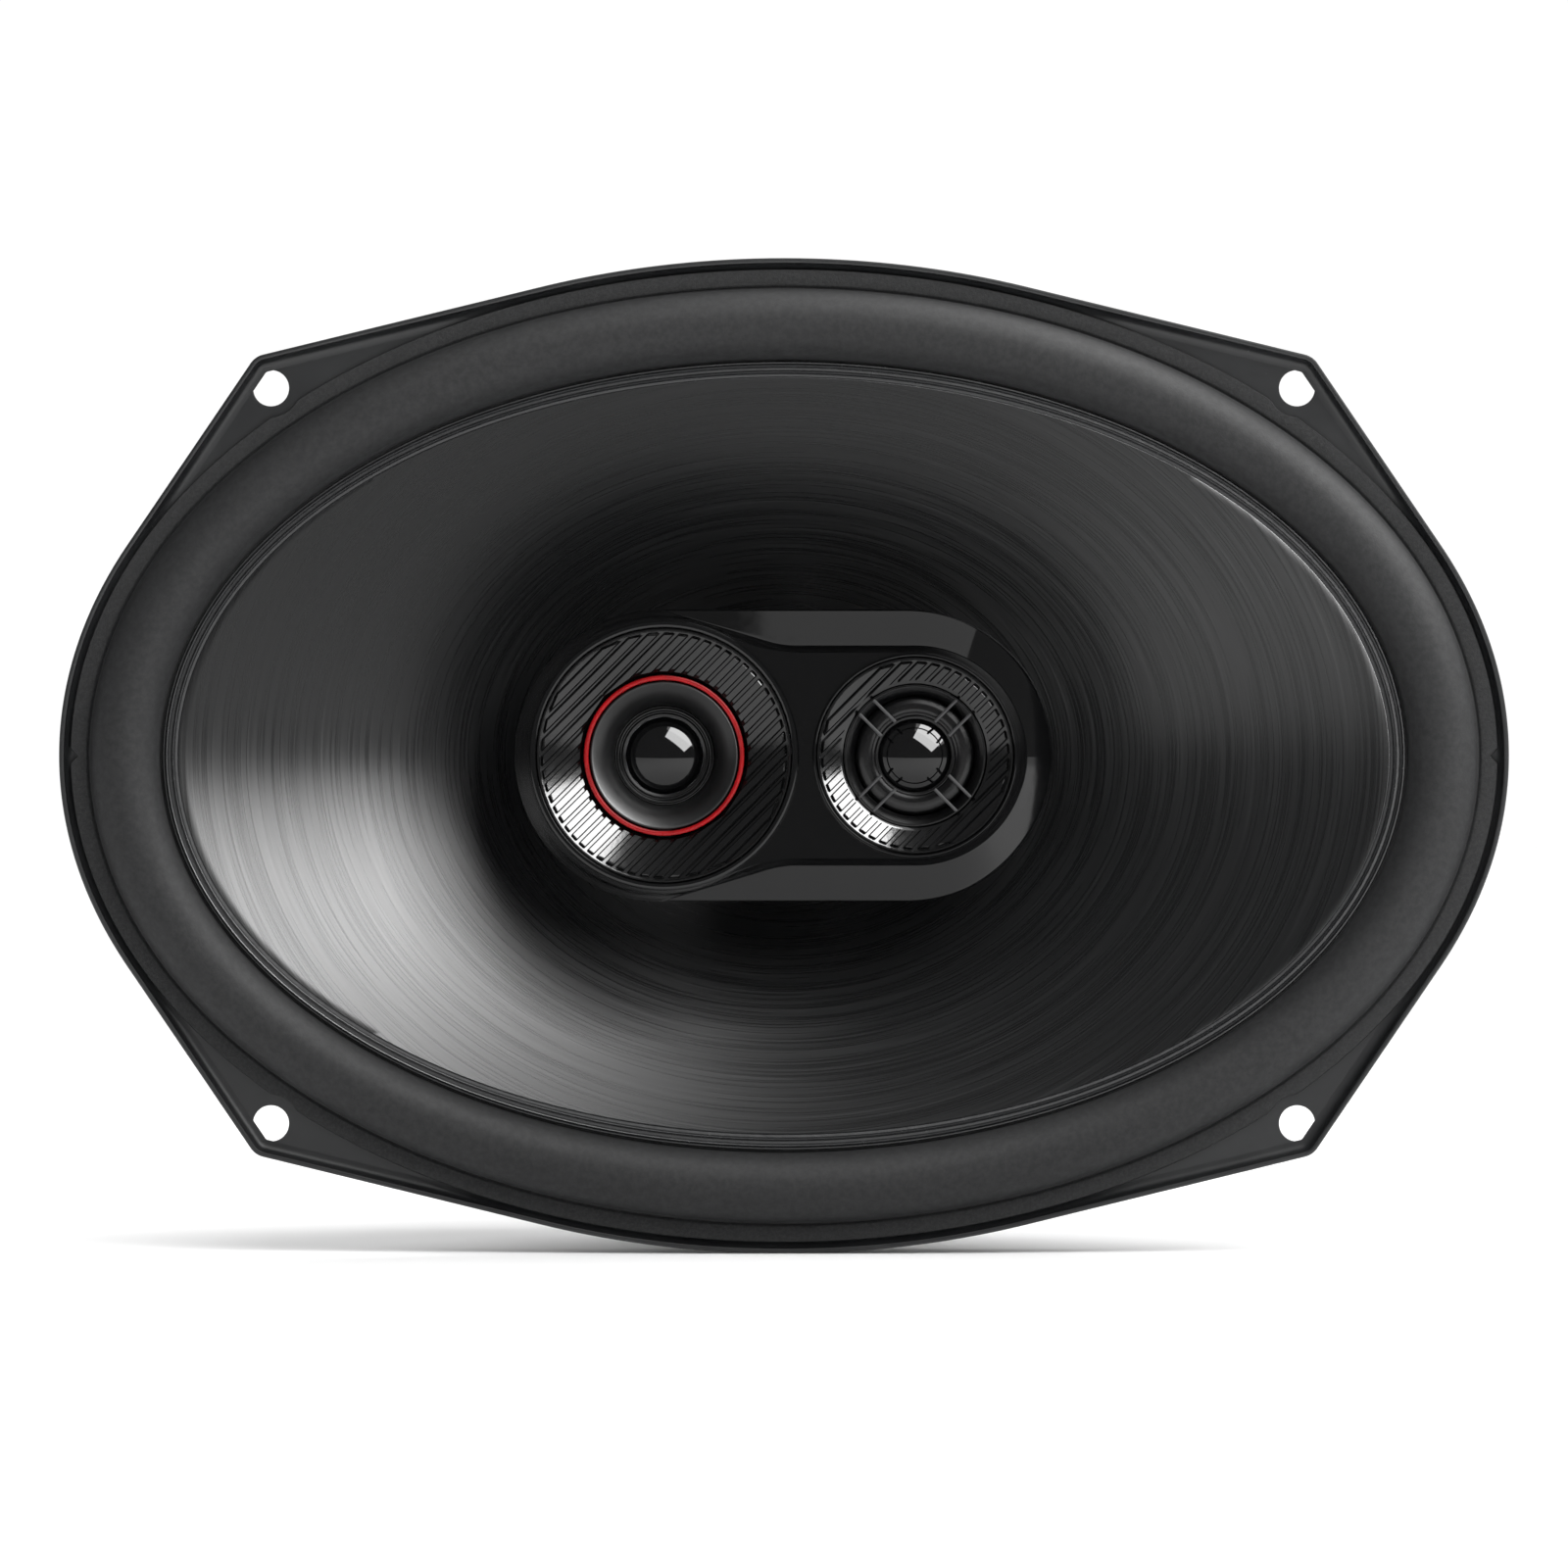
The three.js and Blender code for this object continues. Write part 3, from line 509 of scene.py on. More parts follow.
STEEL = painted_steel()
ZINC = bare_steel()
FERRITE = plain("ferrite", (0.035, 0.036, 0.039), 0.62, grain=(3.2, 5, 0.03),
                patch=(0.6, 6, 0.4, 0.7, (0.06, 0.06, 0.064)))
RUBBER = rubber()
LIP = lip_rubber()
CONE_FINISH = cone_polymer()
CONE_EDGE = plain("cone_edge", DARK_STEEL, 0.22, (0.8, 3, 0.08), (1.5, 3, 0.006))
GLOSS = gloss_black("gloss_black", 0.045)
DOME_GLOSS = gloss_black("dome_gloss", 0.03)
RIDGED = plain("ridged_black", BLACK, 0.09, (1.4, 4, 0.06), (2.2, 3, 0.004))
# Painted shade: a darker, barely reflective copy of ridged_black for the bars' sides, so the grooves between
# the bars read as shaded.
GROOVE_SHADE = plain("groove_painted_shade", (0.001, 0.001, 0.0012), 0.6, (1.4, 4, 0.1), (3, 3, 0.006), specular=0.08)
RIB = plain("rib_black", (0.05, 0.05, 0.052), 0.28, (1.2, 3, 0.08), (2.5, 3, 0.004))
SATIN = plain("satin_black", BLACK, 0.3, (0.9, 4, 0.12), (3.5, 3, 0.01), specular=0.4)
MATTE = plain("matte_black", (0.005, 0.0051, 0.0055), 0.42, (0.9, 4, 0.15), (3, 4, 0.03), specular=0.35)
FILM = plain("dark_film", (0.002, 0.002, 0.0023), 0.2, (1.2, 3, 0.1), (1.8, 2, 0.008), specular=0.4)
RED = plain("red_trim", (0.3, 0.002, 0.004), 0.24, (1.5, 4, 0.08), (1, 3, 0.008),
            (0.4, 3, 0.35, 0.7, (0.42, 0.003, 0.006)), specular=0.3)
KAPTON = plain("kapton", (0.33, 0.14, 0.03), 0.3, (1, 3, 0.12),
               patch=(0.15, 3, 0.4, 0.7, (0.42, 0.2, 0.05)))
COPPER = copper()
CLOTH = spider_cloth()
PHENOLIC = phenolic()
NICKEL = plain("neodymium", (0.66, 0.66, 0.68), 0.18, (1.2, 4, 0.15), metallic=1.0)


# ---------------------------------------------------------------- basket

def ear_places(x, z):
    return [(x, z), (-x, z), (-x, -z), (x, -z)]


def flange_outline(steps=480):
    """Points and outward normals of the line drawn tight round the oval and the four ears."""
    points, normals = [], []
    for angle in np.linspace(0, 2 * math.pi, steps, endpoint=False):
        normal = np.array([math.cos(angle), math.sin(angle)])
        reach = math.hypot(FLANGE_A * normal[0], FLANGE_B * normal[1])
        choices = [np.array([FLANGE_A**2 * normal[0], FLANGE_B**2 * normal[1]]) / reach]
        for corner in ear_places(*EAR_CORNER):
            choices.append(np.array(corner) + EAR_CORNER_RADIUS * normal)
        points.append(max(choices, key=lambda p: p @ normal))
        normals.append(normal)
    return np.array(points), np.array(normals)


def flange_rows(profile, outline):
    """The outline stepped inwards: each (inset, y) of the profile is one row."""
    points, normals = outline
    rows = []
    for inset, y in profile:
        moved = points - inset * normals
        rows.append(np.stack([moved[:, 0], np.full(len(moved), y), moved[:, 1]], -1))
    return rows


def basket_shell():
    """Flange, upturned rim, ears and the whole pressed bowl, before its windows are cut."""
    shape = Shape()
    outline = flange_outline()
    face_y = -SHEET
    rim = [
        (0.3, 0), (0.08, -0.08), (0, -0.3), (0, RIM_FRONT + 0.25), (0.07, RIM_FRONT + 0.07),
        (0.25, RIM_FRONT), (0.55, RIM_FRONT), (0.75, RIM_FRONT + 0.08), (0.85, RIM_FRONT + 0.3),
        (1.0, -2.2), (1.25, -1.75), (1.6, -1.42), (2.1, -1.25), (2.8, face_y),
    ]
    rows = flange_rows(rim, outline)
    shape.grid(rows)
    front_edge = [(p[0], p[2]) for p in rows[-1]]
    rear_edge = [(p[0], p[2]) for p in rows[0]]
    opening_front, opening_rear = 113.4, 115.2
    hole_front = EAR_HOLE_RADIUS + 0.12
    holes = [circle(x, z, hole_front) for x, z in ear_places(*EAR_HOLE)]
    shape.flat([front_edge, oval(opening_front), *holes], face_y)
    shape.flat([rear_edge, oval(opening_rear), *holes], 0)
    for x, z in ear_places(*EAR_HOLE):
        wall = [
            (hole_front, face_y), (EAR_HOLE_RADIUS, face_y + 0.12),
            (EAR_HOLE_RADIUS, -0.12), (hole_front, 0),
        ]
        shape.grid(turned(wall, 48, x=x, z=z))
    line = [(BASKET_TOP, face_y / 2), *WALL_BENDS, (LEDGE_RADIUS, LEDGE_FRONT),
            (LEDGE_INNER, LEDGE_FRONT), (SEAT_RADIUS, SEAT_FRONT), (SEAT_INNER, SEAT_FRONT)]
    sheet = walled(line, SHEET)
    inner, outer = sheet[: len(line)], sheet[len(line):]
    inner[0] = np.array([BASKET_TOP + 0.1, face_y + 0.1])
    outer[-1] = np.array([BASKET_TOP + SHEET + 0.1, 0.4])
    profile = [(opening_front, face_y), *inner, *outer, (opening_rear, 0)]
    smooth = rounded(profile, 2.2, steps=6, closed=False)
    shape.grid(turned(smooth, OVAL_STEPS, short=blended_short(LEDGE_RADIUS, BASKET_TOP)))
    return shape.object("basket_fine", STEEL)


def window_cutter(first, second):
    """A prism between two spokes, with its corners rounded."""
    half = SPOKE_WIDTH / 2

    def corner(angle, side, radius):
        a = math.radians(angle)
        along = np.array([math.cos(a), math.sin(a)])
        across = np.array([-math.sin(a), math.cos(a)])
        return along * radius + across * side * half

    inner, outer = 34, 150
    loop = [
        corner(first, 1, inner), corner(first, 1, outer),
        corner(second, -1, outer), corner(second, -1, inner),
    ]
    work = bmesh.new()
    ends = []
    for y in (WINDOW_FRONT, WINDOW_REAR):
        ends.append([work.verts.new((x * MM, y * MM, z * MM)) for x, z in loop])
    work.faces.new(ends[0])
    work.faces.new(ends[1][::-1])
    for i in range(4):
        j = (i + 1) % 4
        work.faces.new((ends[0][i], ends[1][i], ends[1][j], ends[0][j]))
    bmesh.ops.recalc_face_normals(work, faces=work.faces)
    bmesh.ops.bevel(
        work, geom=list(work.edges), offset=5 * MM, segments=5, profile=0.5, affect="EDGES"
    )
    mesh = bpy.data.meshes.new("cutter")
    work.to_mesh(mesh)
    work.free()
    cutter = bpy.data.objects.new("cutter", mesh)
    bpy.context.scene.collection.objects.link(cutter)
    return cutter


def cut(obj, cutters):
    """Takes the cutters away from obj and deletes them."""
    for cutter in cutters:
        modifier = obj.modifiers.new("cut", "BOOLEAN")
        modifier.operation = "DIFFERENCE"
        modifier.solver = "EXACT"
        modifier.object = cutter
    graph = bpy.context.evaluated_depsgraph_get()
    mesh = bpy.data.meshes.new_from_object(obj.evaluated_get(graph), depsgraph=graph)
    obj.modifiers.clear()
    obj.data = mesh
    for cutter in cutters:
        bpy.data.objects.remove(cutter)
    return mesh


def make_basket():
    obj = basket_shell()
    turns = (*SPOKE_ANGLES, SPOKE_ANGLES[0] + 360)
    cutters = [window_cutter(a, b) for a, b in zip(turns, turns[1:])]
    mesh = cut(obj, cutters)
    shade(mesh, 38)
    place(obj, "basket")


# ---------------------------------------------------------------- moving system

def oval_radius(x, z, difference):
    """The long semi-axis of the front's oval that runs through a point."""
    low, high = difference + 1e-3, 400.0
    for _ in range(30):
        middle = (low + high) / 2
        inside = (x / middle) ** 2 + (z / (middle - difference)) ** 2 < 1
        low, high = (low, middle) if inside else (middle, high)
    return middle


def radial_blend(obj, fixed, moving, centre=0.0, difference=0.0):
    """Bakes obj's transform and works out a smooth weight per vertex, 0 at radius `fixed` and 1 at `moving`;
    nothing uses the weights.
    """
    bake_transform(obj)
    weights = np.empty(len(obj.data.vertices), np.float32)
    for i, vertex in enumerate(obj.data.vertices):
        x, z = vertex.co.x / MM - centre, vertex.co.z / MM
        radius = oval_radius(x, z, difference) if difference else math.hypot(x, z)
        share = min(max((fixed - radius) / (fixed - moving), 0), 1)
        weights[i] = share * share * (3 - 2 * share)


def cone_front_line(steps=64):
    """The cone's face from its edge to its neck: even at first, then ever steeper."""
    depth = CONE_NECK_FRONT - CONE_RIM_FRONT
    line = []
    for inward in np.linspace(0, 1, steps):
        fall = CONE_LINEAR_SHARE * inward + (1 - CONE_LINEAR_SHARE) * inward**CONE_FLARE
        radius = CONE_FACE - inward * (CONE_FACE - CONE_NECK)
        line.append((radius, CONE_RIM_FRONT + fall * depth))
    return line


def make_cone():
    face = cone_front_line()
    edge = [
        (CONE_RIM, -1.95), (CONE_RIM, -2.3), (101.05, -2.5), (100.85, -2.5),
        (100.74, -2.78), (100.5, -2.92), (100.26, -2.78), (100.15, -2.45),
        (99.78, -2.45), (99.66, -2.72), (99.45, -2.84), (99.24, -2.7), (99.12, -2.35),
        (98.75, -2.3), (98.6, -2.45),
    ]
    face_row = len(edge)
    front = edge + face + [(CONE_NECK, CONE_NECK_REAR)]
    rear = [(r + 0.1, y + CONE_WALL) for r, y in face[4:][::-1]]
    neck = [(CONE_NECK + CONE_WALL, CONE_NECK_REAR), (CONE_NECK + CONE_WALL, CONE_NECK_FRONT + 1)]
    profile = front + neck + rear[1:]
    rows = turned(profile, OVAL_STEPS, short=blended_short(CONE_NECK + CONE_WALL, CONE_FACE))
    shape = Shape()
    shape.grid(rows[: face_row + 1], slot=1)
    shape.grid(rows[face_row:], slot=0)
    shape.grid(np.array([rows[-1], rows[0]]), slot=1)
    place(shape.object("cone_fine", CONE_FINISH, CONE_EDGE, sharp=50), "cone", "cone")


def lip_edge(angle):
    """Outer edge of the glued lip: an oval, notched at both ends and hollowed at the screws."""
    x, z = LIP_OUTER * math.cos(angle), oval_short(LIP_OUTER) * math.sin(angle)
    notch_half, notch_depth = 1.25, 1.3
    if abs(z) < notch_half:
        x -= math.copysign(notch_depth * (1 - abs(z) / notch_half), x)
    clearance = 4.75
    for hole in ear_places(*EAR_HOLE):
        away = np.array([x, z]) - hole
        distance = np.linalg.norm(away)
        if distance < clearance:
            x, z = np.array(hole) + away / distance * clearance
    return x, z


def make_surround():
    """A half-roll of rubber between a flat glued lip and a flap under the cone's edge."""
    angles = np.linspace(0, 2 * math.pi, OVAL_STEPS * 2, endpoint=False)
    centre, half = (ROLL_OUTER + ROLL_INNER) / 2, (ROLL_OUTER - ROLL_INNER) / 2
    foot = LIP_FRONT + 0.25
    shape = Shape()

    def rows_of(profile):
        rows = []
        for radius, y in profile:
            short = oval_short(radius)
            rows.append([(radius * math.cos(a), y, short * math.sin(a)) for a in angles])
        return rows

    edge = np.array([lip_edge(a) for a in angles])
    inner_lip = np.array([(p[0], p[2]) for p in rows_of([(ROLL_OUTER + 0.35, 0)])[0]])
    lip_rows = []
    for share, y in ((1, LIP_FRONT + 0.8), (1, LIP_FRONT + 0.12), (0.96, LIP_FRONT),
                     (0.6, LIP_FRONT - 0.03), (0.12, LIP_FRONT), (0, LIP_FRONT + 0.05)):
        flat = inner_lip + share * (edge - inner_lip)
        lip_rows.append([(p[0], y, p[1]) for p in flat])
    shape.grid(lip_rows, slot=1)

    arch = []
    for t in np.linspace(0, math.pi, 33):
        arch.append((centre + half * math.cos(t), foot - ROLL_HEIGHT * math.sin(t)))
    front = [(ROLL_OUTER + 0.35, LIP_FRONT + 0.05), (ROLL_OUTER + 0.15, LIP_FRONT + 0.28), *arch,
             (ROLL_INNER, -1.62), (99.1, -1.6)]
    under = []
    for t in np.linspace(math.pi, 0, 25):
        under.append((centre + (half - 0.8) * math.cos(t), foot + 0.1 - (ROLL_HEIGHT - 0.8) * math.sin(t)))
    rear = [(99.1, -0.95), (ROLL_INNER + 0.7, -0.9), *under, (ROLL_OUTER - 0.5, LIP_FRONT + 0.8)]
    shape.grid(rows_of(front + rear), slot=0)
    last = rows_of([rear[-1]])[0]
    shape.grid([last, lip_rows[0]], slot=1)
    obj = shape.object("surround_fine", RUBBER, LIP, sharp=45)
    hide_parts("surround")
    radial_blend(obj, ROLL_OUTER, ROLL_INNER, difference=OVAL_DIFFERENCE)


def make_spider():
    """Corrugated cloth disc that centres the voice coil."""
    outer, flat_inner, wave_inner, collar = 52.8, 47.4, 18.6, 16.2
    low, high = box_mm("spider")
    middle = (low[1] + high[1]) / 2
    waves, height, wall = 6, 1.0, 0.5
    line = [(outer, middle), (flat_inner, middle)]
    steps = waves * 12
    for i in range(1, steps):
        share = i / steps
        swell = min(1, 6 * share, 6 * (1 - share))
        radius = flat_inner + (wave_inner - flat_inner) * share
        line.append((radius, middle - swell * height * math.sin(2 * math.pi * waves * share)))
    line += [(wave_inner, middle), (collar + 0.4, middle - 0.1)]
    obj = Shape().grid(turned(walled(line, wall), ROUND_STEPS), closed_rows=True)
    obj = obj.object("spider_fine", CLOTH, sharp=60)
    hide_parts("spider")
    radial_blend(obj, flat_inner, wave_inner)


def make_turned(node, corners, softness, material, x=0.0, body="frame"):
    """A closed (radius, y) section with softened corners, turned about the axis at x."""
    shape = Shape().grid(turned(rounded(corners, softness), x=x), closed_rows=True)
    place(shape.object(f"{node}_fine", material), node, body)


def make_ring(node, inner, softness, material, body="frame"):
    """A plain ring that fills a CAD node's box."""
    low, high = box_mm(node)
    x = centre_mm(node)[0]
    outer = high[0] - x
    corners = [(inner, low[1]), (outer, low[1]), (outer, high[1]), (inner, high[1])]
    make_turned(node, corners, softness, material, x, body)


def make_coil():
    make_ring("voice_coil_former", 15.5, 0.1, KAPTON, "cone")
    make_ring("voice_coil_winding", 16.08, 0.3, COPPER, "cone")


# ---------------------------------------------------------------- motor

RIVET_CIRCLE, RIVET_ANGLES = 33, (45, 135, 225, 315)


def rivet_rows(low, high, head_radius, shank_radius, head_height, x, z, head_at_front=True):
    """A domed rivet between two depths, its head at one end."""
    head = low if head_at_front else high
    tail = high if head_at_front else low
    way = 1 if head_at_front else -1
    profile = [(0, head), (head_radius * 0.45, head + way * 0.04)]
    profile += [(head_radius * 0.8, head + way * head_height * 0.28)]
    profile += [(head_radius, head + way * head_height * 0.7), (head_radius, head + way * head_height)]
    profile += [(shank_radius, head + way * head_height), (shank_radius, tail), (0, tail)]
    return turned(profile, 48, x=x, z=z)


def make_screws(prefix, sizes):
    """The two small rivets or screws of one kind, their heads to the rear."""
    for i in (1, 2):
        node = f"{prefix}_{i}"
        low, high = box_mm(node)
        x, _, z = centre_mm(node)
        shape = Shape().grid(rivet_rows(low[1], high[1], *sizes, x, z, head_at_front=False))
        place(shape.object(f"{node}_fine", ZINC), node)


def make_motor():
    make_ring("top_plate", 17.4, 0.5, ZINC)
    make_ring("magnet_ring", 23, 1.2, FERRITE)
    low, high = box_mm("back_plate")
    outer, rear, pole, bore, recess = high[0], high[1], 15, 5.4, 9.5
    disc_front, recess_front = 76, 78
    corners = [
        (bore, low[1]), (pole, low[1]), (pole, disc_front), (outer, disc_front),
        (outer, rear - 1.6), (outer - 1.6, rear), (recess, rear), (recess, recess_front),
        (bore, recess_front),
    ]
    make_turned("back_plate", corners, 0.5, ZINC)
    for i, angle in enumerate(RIVET_ANGLES):
        node = f"motor_rivet_{i + 1}"
        low, high = box_mm(node)
        x, z = RIVET_CIRCLE * math.cos(math.radians(angle)), RIVET_CIRCLE * math.sin(math.radians(angle))
        shape = Shape().grid(rivet_rows(low[1], high[1], 3, 1.6, 1.2, x, z))
        place(shape.object(f"{node}_fine", ZINC), node)


# ---------------------------------------------------------------- terminals

def plate_shape(loops, front, rear, softness):
    """A flat plate whose outer and inner edges are eased a little."""
    shape = Shape()

    def shrunk(loop, amount):
        points = np.array(loop, float)
        before = points - np.roll(points, 1, axis=0)
        after = np.roll(points, -1, axis=0) - points
        along = before / np.linalg.norm(before, axis=1)[:, None]
        along += after / np.linalg.norm(after, axis=1)[:, None]
        along /= np.linalg.norm(along, axis=1)[:, None]
        return points + amount * np.stack([-along[:, 1], along[:, 0]], -1)

    for i, loop in enumerate(loops):
        amount = softness if i == 0 else -softness
        eased = shrunk(loop, amount)
        rows = [(eased, front), (np.array(loop), front + softness),
                (np.array(loop), rear - softness), (eased, rear)]
        shape.grid([np.stack([p[:, 0], np.full(len(p), y), p[:, 1]], -1) for p, y in rows])
    eased = [shrunk(loop, softness if i == 0 else -softness) for i, loop in enumerate(loops)]
    shape.flat(eased, front)
    shape.flat(eased, rear)
    return shape


def rounded_loop(corners, radius, steps=6):
    return [tuple(p) for p in rounded(corners, radius, steps)]


def make_terminals():
    low, high = box_mm("terminal_board")
    board = rounded_loop([(low[0], low[2]), (high[0], low[2]), (high[0], high[2]), (low[0], high[2])], 2.5)
    shape = plate_shape([board], low[1], high[1], 0.15)
    place(shape.object("terminal_board_fine", PHENOLIC), "terminal_board")
    for node in ("terminal_positive", "terminal_negative"):
        low, high = box_mm(node)
        middle = (low[0] + high[0]) / 2
        taper = 1.2
        outline = [
            (low[0], low[2]), (high[0], low[2]), (high[0], high[2] - taper),
            (high[0] - taper, high[2]), (low[0] + taper, high[2]), (low[0], high[2] - taper),
        ]
        hole = circle(middle, high[2] - 4.5, 0.8, 32)
        shape = plate_shape([rounded_loop(outline, 0.5, 4), hole], low[1], high[1], 0.12)
        place(shape.object(f"{node}_fine", ZINC), node)
    make_screws("terminal_rivet", (2.2, 1.2, 0.8))


# ---------------------------------------------------------------- pod

ARC_STEPS, SIDE_STEPS, FILLET_STEPS = 96, 24, 24
POD_LAND = -6.5
WAIST_FILLET = 29


def base_row(inset, y):
    """One ring of points round the pod's base: two half circles and the sides between them."""
    radius = POD_BASE_RADIUS - inset
    return pod_row(-POD_BASE_CENTRE, radius, POD_BASE_CENTRE, radius, 0, y)


def face_row(grow, y):
    """One ring of points round both lips, drawn in to a waist beside the larger one."""
    return pod_row(MID_X, MID_LIP + grow, TWEETER_X, TWEETER_LIP + grow, WAIST_FILLET, y)


def pod_row(left_x, left, right_x, right, fillet, y):
    """Right arc, level side, a hollow fillet on to the left arc, and the same below."""
    centre_z = right + fillet
    reach = math.sqrt((left + fillet) ** 2 - centre_z**2)
    meet_x = left_x + reach
    touch = math.atan2(centre_z, reach)
    upper = []
    for a in np.linspace(0, math.pi / 2, ARC_STEPS // 2):
        upper.append((right_x + right * math.cos(a), right * math.sin(a)))
    for t in np.linspace(0, 1, SIDE_STEPS + 1)[1:]:
        upper.append((right_x + t * (meet_x - right_x), right))
    for t in np.linspace(0, 1, FILLET_STEPS + 1)[1:]:
        a = -math.pi / 2 - t * (math.pi / 2 - touch)
        upper.append((meet_x + fillet * math.cos(a), centre_z + fillet * math.sin(a)))
    for a in np.linspace(touch, math.pi, ARC_STEPS // 2)[1:]:
        upper.append((left_x + left * math.cos(a), left * math.sin(a)))
    ring = upper + [(x, -z) for x, z in upper[-2:0:-1]]
    return [(x, y, z) for x, z in ring]


def mixed(start, corner, end, t):
    """A point on the curve that rounds a corner off."""
    weights = ((1 - t) ** 2, 2 * t * (1 - t), t**2)
    return tuple(sum(w * p[i] for w, p in zip(weights, (start, corner, end))) for i in range(3))


def between(low, high, share):
    return [tuple(a + share * (b - a) for a, b in zip(p, q)) for p, q in zip(low, high)]


def lip_profile(bore, lip):
    """The thin raised edge round a bore, from the pod's face over the top and down the bore."""
    front = POD_LIP_FRONT
    return [
        (lip + 0.12, POD_FACE), (lip + 0.02, POD_FACE - 0.1), (lip - 0.02, front + 0.22),
        (lip - 0.12, front + 0.06), (lip - 0.3, front), (bore + 0.3, front),
        (bore + 0.1, front + 0.06), (bore, front + 0.25), (bore, -9),
    ]


def make_pod():
    edge_depth, grow, rear_round, wall = 1.6, 0.75, 0.35, 1.6
    shape = Shape()
    base = base_row(0, POD_LAND)
    shoulder = face_row(grow, POD_FACE + edge_depth)
    rows = [base_row(wall, POD_REAR), base_row(0.25, POD_REAR), base_row(0.06, POD_REAR - 0.1),
            base_row(0, POD_REAR - rear_round)]
    rows += [between(base_row(0, POD_REAR - rear_round), base, s) for s in (0.5, 0.97)]
    knee = between(base, shoulder, 0.05)
    rows += [[mixed(a, b, c, t) for a, b, c in zip(rows[-1], base, knee)] for t in (0.25, 0.5, 0.75)]
    rows += [between(base, shoulder, s) for s in np.linspace(0.05, 0.86, 12)]
    edge = face_row(0.13, POD_FACE)
    rows += [
        [mixed(a, b, c, t) for a, b, c in zip(rows[-1], shoulder, edge)]
        for t in np.linspace(0, 1, 9)[1:]
    ]
    shape.grid(rows)
    front = [(p[0], p[2]) for p in rows[-1]]
    lips = [(MID_X, MID_BORE, MID_LIP), (TWEETER_X, TWEETER_BORE, TWEETER_LIP)]
    shape.flat([front, *[circle(x, 0, lip + 0.12, ROUND_STEPS) for x, _, lip in lips]], POD_FACE)
    lip_shape = Shape()
    for x, bore, lip in lips:
        lip_shape.grid(turned(lip_profile(bore, lip), ROUND_STEPS, x=x))
    place(lip_shape.object("pod_lips_fine", GLOSS), "pod_housing")
    shape.grid([base_row(wall, POD_REAR), base_row(2.3, POD_LAND), face_row(-1.8, POD_FACE + 2.2)])
    obj = shape.object("pod_housing_fine", GLOSS, sharp=50)
    place(obj, "pod_housing")

    low, high = box_mm("pod_base")
    row = base_row(POD_BASE_RADIUS - high[2], 0)
    outline = [(p[0], p[2]) for p in row]
    hole = circle(0, 0, 2.6, 48)
    shape = plate_shape([outline, hole], low[1], high[1], 0.25)
    place(shape.object("pod_base_fine", MATTE), "pod_base")

    low, high = box_mm("pod_stem")
    corners = [(2.3, low[1]), (10, low[1]), (10, low[1] + 2.5), (5, low[1] + 2.5),
               (5, high[1]), (2.3, high[1])]
    make_turned("pod_stem", corners, 0.5, ZINC)
    make_ring("stem_washer", 2.4, 0.15, ZINC)
    make_screws("pod_screw", (2.7, 1.1, 1.3))


# ---------------------------------------------------------------- drivers in the pod

RIDGE_PITCH = 1.77
RIDGE_WIDTH = 1.3
RIDGE_HEIGHT = 0.75


def add_ridges(shape, x, inner, outer, floor, top_slot, side_slot):
    """Raised bars that all run up to the right at 45 degrees, cut off at the ring's two edges."""
    along = np.array([1, 1]) / math.sqrt(2)
    across = np.array([-1, 1]) / math.sqrt(2)
    half_section = [(0.5, 0), (0.46, 0.3), (0.38, 0.9), (0.35, 1), (0.32, 1)]
    section = [(-offset, height) for offset, height in half_section] + half_section[::-1]
    side_rows = 3
    count = int(outer / RIDGE_PITCH) + 1
    for i in range(-count, count + 1):
        middle = (i + 0.5) * RIDGE_PITCH
        if abs(middle) + RIDGE_WIDTH / 2 > outer - 0.25:
            continue
        crosses_hole = abs(middle) < inner
        for side in ((-1, 1) if crosses_hole else (1,)):
            rows = []
            for offset, height in section:
                u = middle + offset * RIDGE_WIDTH
                end = math.sqrt(outer**2 - u**2)
                start = -end
                if crosses_hole:
                    start = math.sqrt(max(inner**2 - u**2, 0.01))
                length = end - start
                steps = [0, 0.12, 0.3]
                steps += list(np.linspace(0.6, length - 0.6, max(3, int(length / 0.8))))
                steps += [length - 0.3, length - 0.12, length]
                steps = np.interp(np.linspace(0, 1, 26), np.linspace(0, 1, len(steps)), steps)
                row = []
                for s in steps:
                    v = side * (start + s)
                    px, pz = along * v + across * u
                    at_end = min(1, (length - s) / 0.35)
                    at_start = 1 if crosses_hole else min(1, s / 0.35)
                    rise = height * RIDGE_HEIGHT * math.sqrt(max(min(at_end, at_start), 0))
                    row.append((x + px, floor(math.hypot(px, pz)) - rise, pz))
                rows.append(row)
            shape.grid(rows[:side_rows], closed_columns=False, slot=side_slot)
            shape.grid(rows[side_rows - 1 : 1 - side_rows], closed_columns=False, slot=top_slot)
            shape.grid(rows[-side_rows:], closed_columns=False, slot=side_slot)
            if crosses_hole:
                foot = [(p[0], floor(math.hypot(p[0] - x, p[2])), p[2]) for p in (r[0] for r in rows)]
                shape.grid([foot, [r[0] for r in rows]], closed_columns=False, slot=side_slot)


